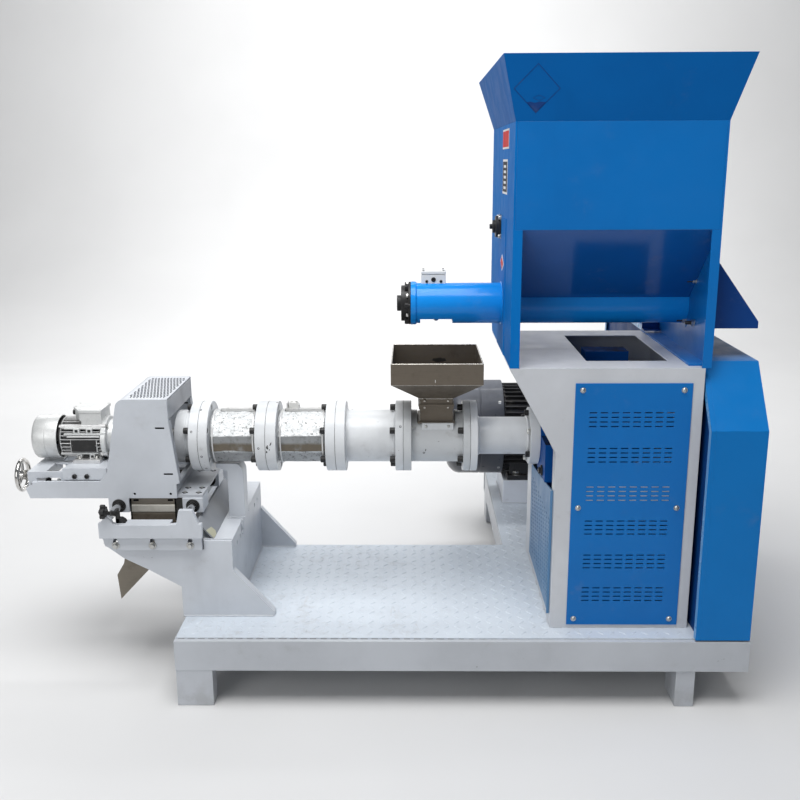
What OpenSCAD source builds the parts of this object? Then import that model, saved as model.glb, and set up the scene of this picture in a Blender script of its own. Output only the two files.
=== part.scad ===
// Fish feed extruder: floor-standing single-screw machine with feed hopper,
// heated barrel, sliding cutter unit, drive cabinet and belt guard.
// Millimetres, +Z up, machine front towards -Y, discharge end towards -X.
// Heights in the source are 28 mm more than heights above the floor; place() takes that off.

/* [Base] */
// Length of the main deck along X
base_l = 1556; // [1500:1:1620]
// Depth of the main deck along Y
base_d = 666; // [655:1:720]
// Depth from the front to the back of the motor wing
wing_d = 1480; // [1440:1:1560]
// Width of the motor wing along X
wing_w = 609; // [600:1:640]
// Source height of the deck's top
deck_z = 228; // [228:1:228]
// Height of the folded rail under the deck plate
rail_h = 89; // [80:1:95]
// Thickness of the deck plate
deck_t = 4; // [3:1:5]

/* [Barrel] */
// Outer diameter of the barrel body
barrel_d = 152; // [148:1:156]
// Outer diameter of the barrel flanges
flange_d = 205; // [200:1:208]
// Source height of the screw axis
axis_z = 701; // [701:1:701]
// Distance of the screw axis behind the deck's front edge
axis_y = 350; // [350:1:350]
// Bolt circle of the barrel flanges
bolt_pcd = 176; // [174:1:180]
// Angle of the first flange bolt
bolt_a = 35; // [0:1:59]

/* [Hopper] */
// Outer diameter of the feeder tube
tube_d = 114; // [110:1:116]
// Source height of the feeder axis
feeder_z = 1091; // [1091:1:1091]
// Source height of the hopper's rim
rim_z = 1725; // [1700:1:1760]
// Thickness of the hopper sheet
sheet_t = 4; // [3:1:5]

/* [Cutter unit] */
// Length of the cross slide's travel each way from its working place
slide_travel = 40; // [30:1:40]
// Diameter of the guide rods
rod_d = 22; // [20:1:25]
// Outer diameter of the handwheel
wheel_d = 102; // [96:1:110]

/* [Hidden] */

// Faces of the deck and its parts, measured from the deck's front edge
xl = -651;            // left end of the deck
xr = xl + base_l;     // right end of the deck
xw = xr - wing_w;     // left edge of the motor wing
x_wheel = -1171;      // outer face of the handwheel
cx = (x_wheel + xr) / 2;
cy = wing_d / 2;
wheel_z = 580;        // height of the adjusting screw
floor_z = 28;         // source height of the floor
motor_y = 1190;       // main motor's axis behind the deck's front edge
motor_z = 494;        // height of the main motor's axis
rail_z = deck_z - deck_t - rail_h;
e = 0.01;

// Hopper box
hx0 = 249; hx1 = 767; hy0 = 73; hy1 = 715; hz1 = 1573; vz = 1312;
// Cabinet
cx0 = 249; cx2 = 375; cx1 = 752; cy0 = 73; cy1 = 643; cz = 960; czd = 732;

// Points along an arc, for bent sheet outlines
function arc(ax, az, r, a0, a1, n) = [for (i = [0:n]) [ax + r * cos(a0 + (a1 - a0) * i / n), az + r * sin(a0 + (a1 - a0) * i / n)]];
module place() { translate([-cx, -cy, -floor_z]) children(); }
module box(a, b) { translate(a) cube([b[0] - a[0], b[1] - a[1], b[2] - a[2]]); }
// Cylinder along X from x0 to x1 on the axis y, z
module cyl_x(x0, x1, r, y = axis_y, z = axis_z, fn = 96) {
  translate([x0, y, z]) rotate([0, 90, 0]) cylinder(h = x1 - x0, r = r, $fn = fn);
}
module cyl_y(y0, y1, r, x, z, fn = 48) {
  translate([x, y1, z]) rotate([90, 0, 0]) cylinder(h = y1 - y0, r = r, $fn = fn);
}
// Plate with its outline drawn in X and Z, from y0 to y1
module plate_y(y0, y1) { translate([0, y1, 0]) rotate([90, 0, 0]) linear_extrude(height = y1 - y0) children(); }
// Plate with its outline drawn in Y and Z, from x0 to x1
module plate_x(x0, x1) { translate([x0, 0, 0]) rotate([90, 0, 90]) linear_extrude(height = x1 - x0) children(); }
// Hexagon bolt head along X
module hex_x(x0, x1, af, y, z) {
  translate([x0, y, z]) rotate([0, 90, 0]) cylinder(h = x1 - x0, r = af / sqrt(3), $fn = 6);
}
// Folded rail of C section along X: web on the face y, flanges towards dir
module rail_x(x0, x1, y, dir, z0, h, b = 48, t = 5) {
  plate_x(x0, x1) polygon([[y, z0], [y + dir * b, z0], [y + dir * b, z0 + t], [y + dir * t, z0 + t],
    [y + dir * t, z0 + h - t], [y + dir * b, z0 + h - t], [y + dir * b, z0 + h], [y, z0 + h]]);
}
module rail_y(y0, y1, x, dir, z0, h, b = 48, t = 5) {
  plate_y(y0, y1) polygon([[x, z0], [x + dir * b, z0], [x + dir * b, z0 + t], [x + dir * t, z0 + t],
    [x + dir * t, z0 + h - t], [x + dir * b, z0 + h - t], [x + dir * b, z0 + h], [x, z0 + h]]);
}

module base_rails_long() {
  color("gainsboro") place() {
    rail_x(xl, xr, 0, 1, rail_z, rail_h);
    rail_x(xl, xw + 48, base_d, -1, rail_z, rail_h);
    rail_x(xw + 48.5, xr - 48.5, 1020, 1, rail_z, rail_h);
    rail_x(xw, xr, wing_d, -1, rail_z, rail_h);
  }
}
module base_rails_cross() {
  color("gainsboro") place() {
    rail_y(48, base_d - 48, xl, 1, rail_z, rail_h);
    rail_y(48, wing_d - 48, xr, -1, rail_z, rail_h);
    rail_y(base_d, wing_d - 48, xw, 1, rail_z, rail_h);
    // members below the pedestal and the cabinet
    rail_y(48, base_d - 48, -395, -1, rail_z, rail_h);
    rail_y(48, base_d - 48, 60, 1, rail_z, rail_h);
    rail_y(48, 1020, cx2, 1, rail_z, rail_h);
  }
}

module deck_plate() {
  color("whitesmoke") place() translate([0, 0, deck_z - deck_t]) linear_extrude(height = deck_t)
    polygon([[xl + 4, 14], [xr - 4, 14], [xr - 4, wing_d - 6], [xw + 4, wing_d - 6], [xw + 4, base_d - 6], [xl + 4, base_d - 6]]);
}

// Channel leg with a welded foot pad; web towards -Y, or towards the side dir when turned
module leg_front(x, y, dir) {
  difference() {
    box([x, min(y, y + dir * 52), floor_z], [x + 100, max(y, y + dir * 52), rail_z]);
    box([x + 7, min(y + dir * 7, y + dir * 53), floor_z + 8], [x + 93, max(y + dir * 7, y + dir * 53), rail_z + 1]);
  }
}
module leg_side(x, y, dir) {
  difference() {
    box([min(x, x + dir * 52), y, floor_z], [max(x, x + dir * 52), y + 100, rail_z]);
    box([min(x + dir * 7, x + dir * 53), y + 7, floor_z + 8], [max(x + dir * 7, x + dir * 53), y + 93, rail_z + 1]);
  }
}
module legs() {
  color("gainsboro") place() {
    leg_front(xl + 1, 2, 1);
    leg_front(xl + 1, base_d - 2, -1);
    leg_side(712, 4, 1);
    leg_side(xr - 4, wing_d - 104, -1);
    leg_side(xw + 4, wing_d - 104, 1);
  }
}

// Outline of the pedestal plates in X and Z: overhang to the left, foot and gusset to the right
module pedestal_outline(top) {
  polygon([[-865, 452], [-859, 440], [-812, 404], [-748, 371], [-655, 318], [-655, deck_z], [-395, deck_z],
    [-395, deck_z + 12], [-507, 368], [-507, top], [-865, top]]);
}
module pedestal_flange() {
  polygon([[-395, deck_z], [-395, deck_z + 12], [-507, 368], [-507, 354], [-404, deck_z]]);
}
module pedestal_front_plate() {
  color("gainsboro") place() difference() {
    union() {
      plate_y(140, 150) pedestal_outline(456);
      plate_y(140, 168) pedestal_flange();
      plate_y(140, 150) polygon([[-865, 450], [-600, 450], [-600, 500], [-865, 500]]);
    }
    for (x = [-828, -725, -620]) cyl_y(120, 160, 6, x, 451);
  }
}
module pedestal_back_plate() {
  color("gainsboro") place() difference() {
    union() {
      plate_y(640, 650) pedestal_outline(456);
      plate_y(640, 664) pedestal_flange();
      plate_y(640, 650) polygon([[-865, 450], [-600, 450], [-600, 500], [-865, 500]]);
    }
    for (x = [-828, -725, -620]) cyl_y(630, 670, 6, x, 451);
  }
}
module pedestal_side_plate() {
  color("gainsboro") place() difference() {
    box([-517, 150, deck_z], [-507, 640, 448]);
    cyl_x(-530, -500, 7, 215, 420);
    cyl_x(-530, -500, 7, 265, 420);
    cyl_x(-530, -500, 7, 525, 420);
    cyl_x(-530, -500, 7, 575, 420);
  }
}
module pedestal_ledge() {
  color("gainsboro") place() difference() {
    box([-655, 150, 448], [-507, 640, 456]);
    box([-551, 312, 440], [-515, 316, 460]);
  }
}
module barrel_support() {
  // bent strip with a rounded shoulder, closed by a front and a back web
  color("gainsboro") place() difference() {
    union() {
      for (y = [322, 370]) plate_y(y, y + 8)
        polygon(concat([[-547, 456], [-500, 456]], arc(-535, 592, 35, 0, 90, 9),
          [[-580, 627], [-580, 612], [-547, 600]]));
      plate_y(322, 378)
        polygon(concat([[-510, 456], [-500, 456]], arc(-535, 592, 35, 0, 90, 9), [[-580, 627], [-580, 616]], arc(-535, 591, 25, 90, 0, 9)));
    }
    cyl_x(-600, -480, barrel_d / 2 + 6, axis_y, axis_z, 96);
  }
}

// Cross member of the slide frame: angle section with lugs for the rods
module rail_member(y, dir) {
  y0 = min(y, y + dir * 14); y1 = max(y, y + dir * 14);
  f0 = min(y, y + dir * 44); f1 = max(y, y + dir * 44);
  plate_y(y0, y1) children();
  box([-816, f0, 506], [-672, f1, 514]);
}
module rail_front() {
  // the left lug is low, and the rods end against the plate's inner face
  color("gainsboro") place() rail_member(112, 1)
    polygon([[-868, 474], [-582, 474], [-582, 517], [-591, 517], [-606, 557], [-644, 557], [-652, 517], [-672, 514], [-816, 514],
      [-829, 519], [-833, 529], [-845, 538], [-849, 538], [-863, 519], [-868, 519]]);
}
module rail_back() {
  color("gainsboro") place() rail_member(678, -1)
    polygon([[-868, 474], [-582, 474], [-583, 520], [-600, 560], [-652, 560], [-672, 514], [-790, 514],
      [-806, 560], [-858, 560], [-868, 520]]);
}
// Slotted plates that hang the slide frame on the pedestal plates
module rail_clamp_plates() {
  color("gainsboro") place() for (y = [[126, 140], [650, 664]]) difference() {
    plate_y(y[0], y[1]) polygon([[-864, 474], [-588, 474], [-588, 434], [-822, 434], [-858, 446]]);
    for (x = [-828, -725, -620]) {
      cyl_y(y[0] - 5, y[1] + 5, 6.5, x, 451);
      cyl_y(y[0] - 5, y[1] + 5, 6.5, x, 462);
      box([x - 6.5, y[0] - 5, 451], [x + 6.5, y[1] + 5, 462]);
    }
  }
}
module rail_splash_plate() {
  color("gainsboro") place() plate_y(156, 545) polygon([[-609, 506], [-603, 506], [-559, 456], [-565, 456]]);
}
module guide_rods() {
  color("silver") place() for (x = [-835, -625]) cyl_y(126, 664, rod_d / 2, x, 537, 64);
}

// Barrel pieces: a body between two flanges, with bolt holes through both flanges
module flanged(x0, x1, f0, f1, r, fr = flange_d / 2, holes = true) {
  difference() {
    union() {
      cyl_x(x0, x1, r);
      if (f0 > 0) cyl_x(x0, x0 + f0, fr);
      if (f1 > 0) cyl_x(x1 - f1, x1, fr);
    }
    if (holes) for (k = [0:5]) {
      y = axis_y + bolt_pcd / 2 * cos(bolt_a + 60 * k);
      z = axis_z + bolt_pcd / 2 * sin(bolt_a + 60 * k);
      if (f0 > 0) cyl_x(x0 - 1, x0 + f0 + 1, 9, y, z, 32);
      if (f1 > 0) cyl_x(x1 - f1 - 1, x1 + 1, 9, y, z, 32);
    }
  }
}
module die_head() {
  color("gainsboro") place() difference() {
    flanged(-684, -613, 0, 27, 75);
    cyl_x(-686, -672, 52);
    for (k = [0:9]) cyl_x(-675, -650, 3, axis_y + 38 * cos(36 * k), axis_z + 38 * sin(36 * k), 24);
  }
}
module barrel_segment_a() { color("gainsboro") place() flanged(-613, -421, 27, 30, 66); }
module barrel_segment_b() { color("gainsboro") place() flanged(-421, -223, 30, 28, 66); }
module barrel_segment_c() { color("gainsboro") place() flanged(-223, -29, 28, 23, barrel_d / 2); }
module inlet_segment() {
  color("gainsboro") place() difference() {
    union() {
      // its flanges are tapped blind from behind, so no holes show
      flanged(-29, 162, 23, 20, barrel_d / 2, holes = false);
      box([25, 280, axis_z], [111, 420, 754]);
    }
    // milled seat for the inlet hopper's neck
    box([11, 285, 754], [119, 415, 790]);
    // feed throat down to the screw bore
    box([35, 315, axis_z - 30], [101, 385, 760]);
  }
}
module bearing_housing() {
  color("gainsboro") place() union() {
    flanged(162, 362, 21, 0, 54.5);
    difference() {
      cyl_x(334, 362, 83);
      for (k = [0:5]) cyl_x(330, 365, 7, axis_y + 70 * cos(bolt_a + 60 * k), axis_z + 70 * sin(bolt_a + 60 * k), 32);
    }
  }
}
// Heater jacket: sheet band round the barrel with a clamp strip on top
module heater_cover(x0, x1) {
  difference() {
    union() {
      cyl_x(x0, x1, 80);
      box([x0 + 4, 334, axis_z + 74], [x1 - 4, 366, axis_z + 88]);
    }
    cyl_x(x0 - 1, x1 + 1, 66.2);
    box([x0 - 1, 346, axis_z + 60], [x1 + 1, 354, axis_z + 89]);
  }
}
module heater_cover_a() { color("silver") place() heater_cover(-582, -455); }
module heater_cover_b() {
  color("silver") place() union() {
    heater_cover(-387, -255);
    box([-366, 352, axis_z + 80], [-340, 392, axis_z + 104]);
  }
}

// Open box hopper over the barrel: walls, sloping floor, neck
module chute_frustum(g, z0, z1) {
  // outer or inner pyramid, g is the wall's inset
  hull() {
    box([-62 + g, 203 + g, z1 - 0.5], [192 - g, 497 - g, z1]);
    box([18 + g, 292 + g, z0], [112 - g, 408 - g, z0 + 0.5]);
  }
}
module inlet_chute() {
  color("dimgray") place() difference() {
    union() {
      box([-62, 203, 886], [192, 497, 944]);
      chute_frustum(0, 826, 886);
      box([18, 292, 754], [112, 408, 826.2]);
      box([12, 286, 754], [118, 414, 760]);
      box([14, 288, 804], [116, 412, 810]);
    }
    box([-59, 206, 886], [189, 494, 950]);
    chute_frustum(3, 826, 886.2);
    box([21, 295, 750], [109, 405, 826.5]);
  }
}

module gearbox() {
  color("steelblue") place() union() {
    box([381, 235, 560], [620, 465, 790]);
    box([363, 180, 614], [600, 514, 722]);
    box([500, 390, 780], [625, 465, 942]);
    cyl_x(362, 382, 83);
    box([400, 215, deck_z], [600, 485, 560]);
    cyl_x(620, 660, 70);
    cyl_x(660, 752, 26);
  }
}

// Cabinet sheets, each a plate of its own
module cab_outline() { polygon([[cx2, deck_z], [cx1, deck_z], [cx1, cz], [cx0, cz], [cx2, czd]]); }
module cabinet_front() {
  color("gainsboro") place() difference() {
    plate_y(cy0, cy0 + 3) cab_outline();
    box([452, cy0 - 5, 275], [688, cy0 + 5, 885]);
    for (x = [439, 701]) for (z = [903, 580, 257]) cyl_y(cy0 - 5, cy0 + 5, 4, x, z, 32);
  }
}
module cabinet_left() {
  color("gainsboro") place() difference() {
    union() {
      box([cx2, cy0 + 3, deck_z], [cx2 + 3, cy1 - 3, czd]);
      plate_y(cy0 + 3, cy1 - 3) polygon([[cx2, czd], [cx2 + 3, czd], [cx0 + 3.4, cz - 3], [cx0, cz - 3]]);
    }
    // window for the gearbox and the side vent
    box([cx2 - 1, 120, 270], [cx2 + 4, 520, 726]);
    // way through for the barrel's end flange
    cyl_x(325, 382, 88);
  }
}
module cabinet_right() { color("gainsboro") place() difference() {
    box([cx1 - 3, cy0 + 3, deck_z], [cx1, cy1 - 3, cz - 3]);
    cyl_x(cx1 - 5, cx1 + 2, 60);
  }
}
module cabinet_back() { color("gainsboro") place() plate_y(cy1 - 3, cy1) cab_outline(); }
module cabinet_top() {
  color("gainsboro") place() difference() {
    box([cx0, cy0 + 3, cz - 3], [cx1, cy1 - 3, cz]);
    box([463, 170, cz - 5], [679, 553, cz + 1]);
  }
}
module vented_door() {
  color("dodgerblue") place() difference() {
    box([420, cy0 - 3, 239], [723, cy0, 921]);
    for (x = [439, 701]) for (z = [903, 580, 257]) cyl_y(cy0 - 5, cy0 + 5, 4, x, z, 32);
  }
}
module side_vent_panel() {
  color("lightskyblue") place() plate_x(cx2 - 3, cx2)
    polygon([[105, 262], [530, 262], [530, 556], [150, 612], [105, 590]]);
}

module hopper_front() {
  color("dodgerblue") place() box([hx0 + 5.1, hy0, vz], [hx1 - 5.1, hy0 + sheet_t, hz1]);
}
module hopper_back() {
  color("dodgerblue") place() box([hx0 + 5.1, hy1 - sheet_t, 1402], [hx1 - 5.1, hy1, hz1]);
}
// Side plates of the hopper stand on the cabinet; their front edges are folded flanges
module side_outline() { polygon([[hy0, cz], [hy1 - 70, cz], [hy1, 1080], [hy1, hz1], [hy0, hz1]]); }
module hopper_left_plate() {
  color("dodgerblue") place() difference() {
    union() {
      plate_x(hx0, hx0 + 5) side_outline();
      box([hx0, hy0, cz], [hx0 + 24, hy0 + 5, vz]);
      plate_x(hx0 - 2, hx0 + 1) polygon([[250, 960], [450, 960], [450, 1330], [250, 1330]]);
    }
    cyl_x(hx0 - 5, hx0 + 10, tube_d / 2 + 0.3, axis_y, feeder_z);
    cyl_x(hx0 - 5, hx0 + 10, 7, 410, 1300);
  }
}
module hopper_right_plate() {
  color("dodgerblue") place() difference() {
    union() {
      plate_x(hx1 - 5, hx1) side_outline();
      box([hx1 - 24, hy0, cz], [hx1, hy0 + 5, vz]);
      box([hx1 - 50, hy0 + 30, cz], [hx1, 640, cz + 5]);
    }
    cyl_x(hx1 - 10, hx1 + 5, tube_d / 2 + 0.3, axis_y, feeder_z);
    for (p = [[240, 1167], [222, 1054], [310, 1032], [460, 1167]]) cyl_x(hx1 - 10, hx1 + 5, 6, p[0], p[1], 32);
  }
}
// Sloping walls that lead to the feeder tube
module hopper_trough() {
  t = sheet_t;
  color("royalblue") place() {
    plate_x(hx0 + 5.2, hx1 - 5.2) polygon([[hy0 + 5.3, vz + 6], [hy0 + 5.3, vz - 1], [296.3, 1112.9], [297.9, 1116.9]]);
    plate_x(hx0 + 5.2, hx1 - 5.2) polygon([[hy1 - 4.2, 1408], [hy1 - 4.2, 1402], [404.5, 1112.4], [402.6, 1116.1]]);
  }
}
// Flared rim: four sloping sheets, mitred at the corners
module flare_solid(g) {
  hull() {
    box([hx0 + g, hy0 + g, hz1 + 0.02], [hx1 - g, hy1 - g, hz1 + 0.5]);
    box([213 + g, 33 + g, rim_z - 0.5], [810 - g, 895 - g, rim_z]);
  }
}
module hopper_flare() {
  color("dodgerblue") place() difference() {
    flare_solid(0);
    translate([0, 0, 0.6]) flare_solid(sheet_t + 0.5);
    translate([0, 0, -0.6]) flare_solid(sheet_t + 0.5);
  }
}
module hopper_bearing() {
  color("black") place() {
    cyl_x(hx0 - 16, hx0 - 2.1, 30, 410, 1300);
    cyl_x(hx0 - 24, hx0 - 16, 18, 410, 1300);
    cyl_x(hx0 - 32, hx0 - 24, 7, 410, 1300, 48);
  }
}

module feeder_tube() {
  color("dodgerblue") place() difference() {
    union() {
      cyl_x(-7, 775, tube_d / 2, axis_y, feeder_z);
      cyl_x(-7, 7, 61, axis_y, feeder_z);
    }
    cyl_x(-8, 776, tube_d / 2 - 5, axis_y, feeder_z);
    // mouth below the hopper and outlet over the barrel inlet
    box([258, 318, feeder_z + 30], [758, 382, feeder_z + 70]);
    box([20, 310, feeder_z - 70], [110, 390, feeder_z - 30]);
  }
}
module feeder_end_cap() {
  color("black") place() union() {
    cyl_x(-14, -7, 60, axis_y, feeder_z);
    cyl_x(-34, -14, 50, axis_y, feeder_z);
    cyl_x(-46, -34, 22, axis_y, feeder_z);
    for (k = [0:5]) hex_x(-24, -14, 16, axis_y + 54 * cos(60 * k), feeder_z + 54 * sin(60 * k));
  }
}
module feeder_junction_box() {
  color("white") place() difference() {
    box([22, 340, feeder_z + tube_d / 2 - 3], [92, 400, 1182]);
    cyl_y(330, 350, 4, 40, 1160, 24);
    cyl_y(330, 350, 4, 74, 1160, 24);
    cyl_x(15, 100, tube_d / 2 + 0.2, axis_y, feeder_z);
  }
}
module feed_screw() {
  color("silver") place() cyl_x(-7, 775, 16, axis_y, feeder_z, 48);
}
// Slanted cover over the chain drive on the hopper's right side
module feeder_drive_cover() {
  color("mediumblue") place() difference() {
    plate_y(150, 560) polygon([[hx1, 1330], [787, 1330], [792, 1222], [852, 1140], [905, 1068], [905, 1050], [hx1, 1050]]);
    plate_y(153, 557) polygon([[hx1 - 1, 1326], [783, 1326], [788, 1220], [849, 1137], [901, 1067], [901, 1040], [hx1 - 1, 1040]]);
  }
}

// Belt guard: closed housing with a sloping front edge
module guard_outline() {
  polygon([[0, deck_z], [0, 812], [117, 970], [1300, 970], [1390, 880], [1390, deck_z]]);
}
module belt_guard() {
  color("dodgerblue") place() difference() {
    plate_x(756, 902) guard_outline();
    box([750, 50, 954], [768.5, 1395, 975]);
  }
}

module main_motor() {
  color("dimgray") place() union() {
    cyl_x(334, 700, 168, motor_y, motor_z);
    cyl_x(700, 730, 176, motor_y, motor_z);
    box([345, 1066, 318], [662, 1116, 350]);
    box([345, 1264, 318], [662, 1314, 350]);
    box([400, 1070, 340], [630, 1310, 480]);
    box([440, 965, 444], [600, 1050, 564]);
    cyl_x(730, 755, 28, motor_y, motor_z, 64);
  }
}
module main_motor_cowl() {
  color("gray") place() union() {
    cyl_x(160, 334, 178, motor_y, motor_z);
    translate([125, motor_y, motor_z]) rotate([0, 90, 0]) cylinder(h = 35, r1 = 146, r2 = 178, $fn = 96);
  }
}
module motor_mount() {
  color("gainsboro") place() for (x = [336, 560]) box([x, 1062, deck_z], [x + 107, 1318, 318]);
}

// Cutter unit. Side plates of the hood with a long tail for the motor
module hood_outline() {
  polygon(concat([[-680, 785], [-659, 603], [-668, 601], [-668, 559], [-1086, 559], [-1096, 588],
    [-1061, 609], [-885, 609], [-862, 634]], arc(-800, 821, 26, 168, 90, 8), [[-680, 847]]));
}
module hood_plate_y(y0, y1) {
  difference() {
    plate_y(y0, y1) hood_outline();
    box([-718, y0 - 1, 762], [-692, y1 + 1, 767]);
    box([-702, y0 - 1, 628], [-676, y1 + 1, 633]);
    cyl_y(y0 - 1, y1 + 1, 3.5, -788, 572, 24);
    cyl_y(y0 - 1, y1 + 1, 3.5, -686, 572, 24);
  }
}
module hood_front_plate() { color("gainsboro") place() hood_plate_y(203, 209); }
module hood_back_plate() { color("gainsboro") place() hood_plate_y(491, 497); }
// Sheet bent over the top and down the left side, with an opening for the motor
module hood_cover() {
  color("gainsboro") place() difference() {
    plate_y(209, 491) difference() {
      union() {
        polygon([[-680, 847], [-800, 847], [-826, 812], [-858.4, 652], [-854.3, 652],
          [-822, 812], [-800, 843], [-680, 843]]);
        translate([-800, 821]) circle(r = 26, $fn = 64);
      }
      translate([-800, 821]) circle(r = 22, $fn = 64);
      polygon([[-676, 843], [-800, 843], [-800, 800], [-822, 812], [-854.3, 652], [-854, 600], [-676, 600]]);
    }
    cyl_x(-880, -800, 62, axis_y, 700);
    box([-880, 288, 640], [-800, 412, 700]);
  }
}
module hood_end_plates() {
  color("gainsboro") place() {
    plate_y(209, 491) polygon([[-684, 843], [-680, 843], [-680, 788], [-684, 788]]);
    for (y = [209, 471]) plate_y(y, y + 20) polygon([[-680, 785], [-660.3, 614], [-663.3, 614], [-683, 785]]);
    plate_y(209, 491) polygon([[-665, 612], [-661, 612], [-660, 603], [-668, 603], [-668, 575], [-672, 575], [-672, 612]]);
  }
}
// Tray on the side plates' tails that carries the motor sled
module tail_tray() {
  color("gainsboro") place() difference() {
    union() {
      box([-1090, 224, 624.8], [-866, 476, 630.8]);
      for (y = [[224, 230], [470, 476]]) box([-1090, y[0], 598], [-866, y[1], 625]);
      for (y = [[209, 224], [476, 491]]) box([-1080, y[0], 598], [-876, y[1], 604]);
      box([-1096, 224, 562], [-1090, 476, 630.8]);
    }
    // slot for the nut of the adjusting screw, and two windows
    box([-1034, 330, 620], [-960, 370, 635]);
    box([-1044, 232, 620], [-1004, 310, 635]);
    box([-1044, 390, 620], [-1004, 468, 635]);
    for (y = [222, 468]) box([-1071, y, 604], [-1003, y + 10, 613]);
    cyl_x(-1100, -1085, 8.08, axis_y, wheel_z, 48);
  }
}
module carriage_base() {
  color("gainsboro") place() difference() {
    box([-870, 209, 559], [-597, 491, 567]);
    // way out for the cut feed
    box([-800, 240, 550], [-684, 460, 570]);
    for (x = [-652, -612]) for (y = [229, 271, 429, 471]) cyl_z_hole(x, y);
  }
}
module cyl_z_hole(x, y) { translate([x, y, 550]) cylinder(h = 30, r = 4, $fn = 32); }
module bearing_blocks() {
  color("silver") place() for (x = [-835, -625]) for (y = [[203, 273], [427, 497]]) difference() {
    box([x - 29, y[0], 517], [x + 29, y[1], 559]);
    cyl_y(y[0] - 1, y[1] + 1, rod_d / 2 + 0.05, x, 537, 64);
  }
}
// Bent sheet spout that hangs through the carriage and leads the pellets down to the left
module chute_side() {
  polygon([[-805.5, 559], [-676, 559], [-676, 432.5], [-854, 244], [-860, 320], [-838, 356], [-806, 500]]);
}
module discharge_chute() {
  color("dimgray") place() difference() {
    plate_y(214, 486) chute_side();
    plate_y(217, 483) polygon([[-802.5, 565], [-679, 565], [-679, 433.5], [-851, 251], [-870, 230], [-870, 350], [-837, 357], [-835, 356], [-803, 500]]);
  }
}

// Motor sled: flanged plate that slides along X on the tray, with a nut for the adjusting screw
module motor_sled() {
  color("whitesmoke") place() difference() {
    union() {
      box([-992, 214, 631], [-866, 486, 637]);
      for (y = [[214, 219], [481, 486]]) box([-992, y[0], 610], [-866, y[1], 645]);
      box([-990, 337, 564], [-974, 363, 632]);
    }
    cyl_x(-995, -970, 8.08, axis_y, wheel_z, 48);
  }
}
module cutter_motor() {
  color("silver") place() union() {
    cyl_x(-1030, -905, 60, axis_y, 700);
    cyl_x(-905, -888, 62, axis_y, 700);
    cyl_x(-888, -866, 50, axis_y, 700);
    cyl_x(-866, -715, 9.5, axis_y, 700, 48);
    cyl_x(-745, -700, 24, axis_y, 700, 48);
    box([-980, 282, 637], [-888, 318, 649]);
    box([-980, 382, 637], [-888, 418, 649]);
    box([-975, 300, 645], [-893, 400, 664]);
    translate([0, 0, 757]) linear_extrude(height = 34) polygon([[-992, 395], [-992, 346], [-966, 305], [-898, 305], [-898, 395]]);
    box([-961, 308, 740], [-900, 392, 758]);
  }
}
module cutter_motor_cowl() {
  color("silver") place() union() {
    cyl_x(-1100, -1030, 64, axis_y, 700);
    cyl_x(-1107, -1100, 58, axis_y, 700);
  }
}
module adjusting_screw() {
  color("silver") place() union() {
    cyl_x(-1150, -962, 8, axis_y, wheel_z, 48);
    cyl_x(-1112, -1096.4, 14, axis_y, wheel_z, 48);
    cyl_x(-1089.6, -1080, 14, axis_y, wheel_z, 48);
  }
}
module handwheel() {
  r = wheel_d / 2 - 7;
  color("silver") place() union() {
    translate([-1163, axis_y, wheel_z]) rotate([0, 90, 0]) rotate_extrude($fn = 96) translate([r, 0]) circle(r = 7, $fn = 32);
    difference() { cyl_x(-1171, -1145, 15, axis_y, wheel_z, 48); cyl_x(-1155, -1144, 8, axis_y, wheel_z, 48); }
    for (k = [0:2]) translate([-1163, axis_y, wheel_z]) rotate([120 * k, 0, 0]) translate([0, 0, 12]) cylinder(h = r - 12, r = 4.5, $fn = 32);
  }
}

base_rails_long();
base_rails_cross();
deck_plate();
legs();
pedestal_front_plate();
pedestal_back_plate();
pedestal_side_plate();
pedestal_ledge();
barrel_support();
rail_front();
rail_back();
rail_clamp_plates();
rail_splash_plate();
guide_rods();
die_head();
barrel_segment_a();
barrel_segment_b();
barrel_segment_c();
inlet_segment();
bearing_housing();
heater_cover_a();
heater_cover_b();
inlet_chute();
gearbox();
cabinet_front();
cabinet_left();
cabinet_right();
cabinet_back();
cabinet_top();
vented_door();
side_vent_panel();
hopper_front();
hopper_back();
hopper_left_plate();
hopper_right_plate();
hopper_trough();
hopper_flare();
hopper_bearing();
feeder_tube();
feeder_end_cap();
feeder_junction_box();
feeder_drive_cover();
feed_screw();
belt_guard();
main_motor();
main_motor_cowl();
motor_mount();
hood_front_plate();
hood_back_plate();
hood_cover();
hood_end_plates();
tail_tray();
carriage_base();
bearing_blocks();
discharge_chute();
motor_sled();
cutter_motor();
cutter_motor_cowl();
adjusting_screw();
handwheel();
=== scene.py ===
# Fish feed extruder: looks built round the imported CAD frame.
import bpy, bmesh, math, random
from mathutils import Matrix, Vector, noise


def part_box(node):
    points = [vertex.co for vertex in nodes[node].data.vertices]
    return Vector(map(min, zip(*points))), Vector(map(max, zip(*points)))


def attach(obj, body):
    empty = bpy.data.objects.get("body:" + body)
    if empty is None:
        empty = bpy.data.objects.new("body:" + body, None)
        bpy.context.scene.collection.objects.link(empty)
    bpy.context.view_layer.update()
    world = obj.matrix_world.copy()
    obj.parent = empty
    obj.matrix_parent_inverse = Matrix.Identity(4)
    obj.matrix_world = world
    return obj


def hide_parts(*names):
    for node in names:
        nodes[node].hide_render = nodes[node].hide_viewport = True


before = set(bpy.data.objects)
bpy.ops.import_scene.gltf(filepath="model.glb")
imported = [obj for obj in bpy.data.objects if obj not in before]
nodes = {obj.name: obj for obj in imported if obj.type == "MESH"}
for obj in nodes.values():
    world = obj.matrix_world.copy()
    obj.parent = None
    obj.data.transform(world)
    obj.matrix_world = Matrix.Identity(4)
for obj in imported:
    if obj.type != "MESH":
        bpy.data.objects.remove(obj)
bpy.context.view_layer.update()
random.seed(7)
bpy.context.scene.view_settings.view_transform = "Standard"

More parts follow.
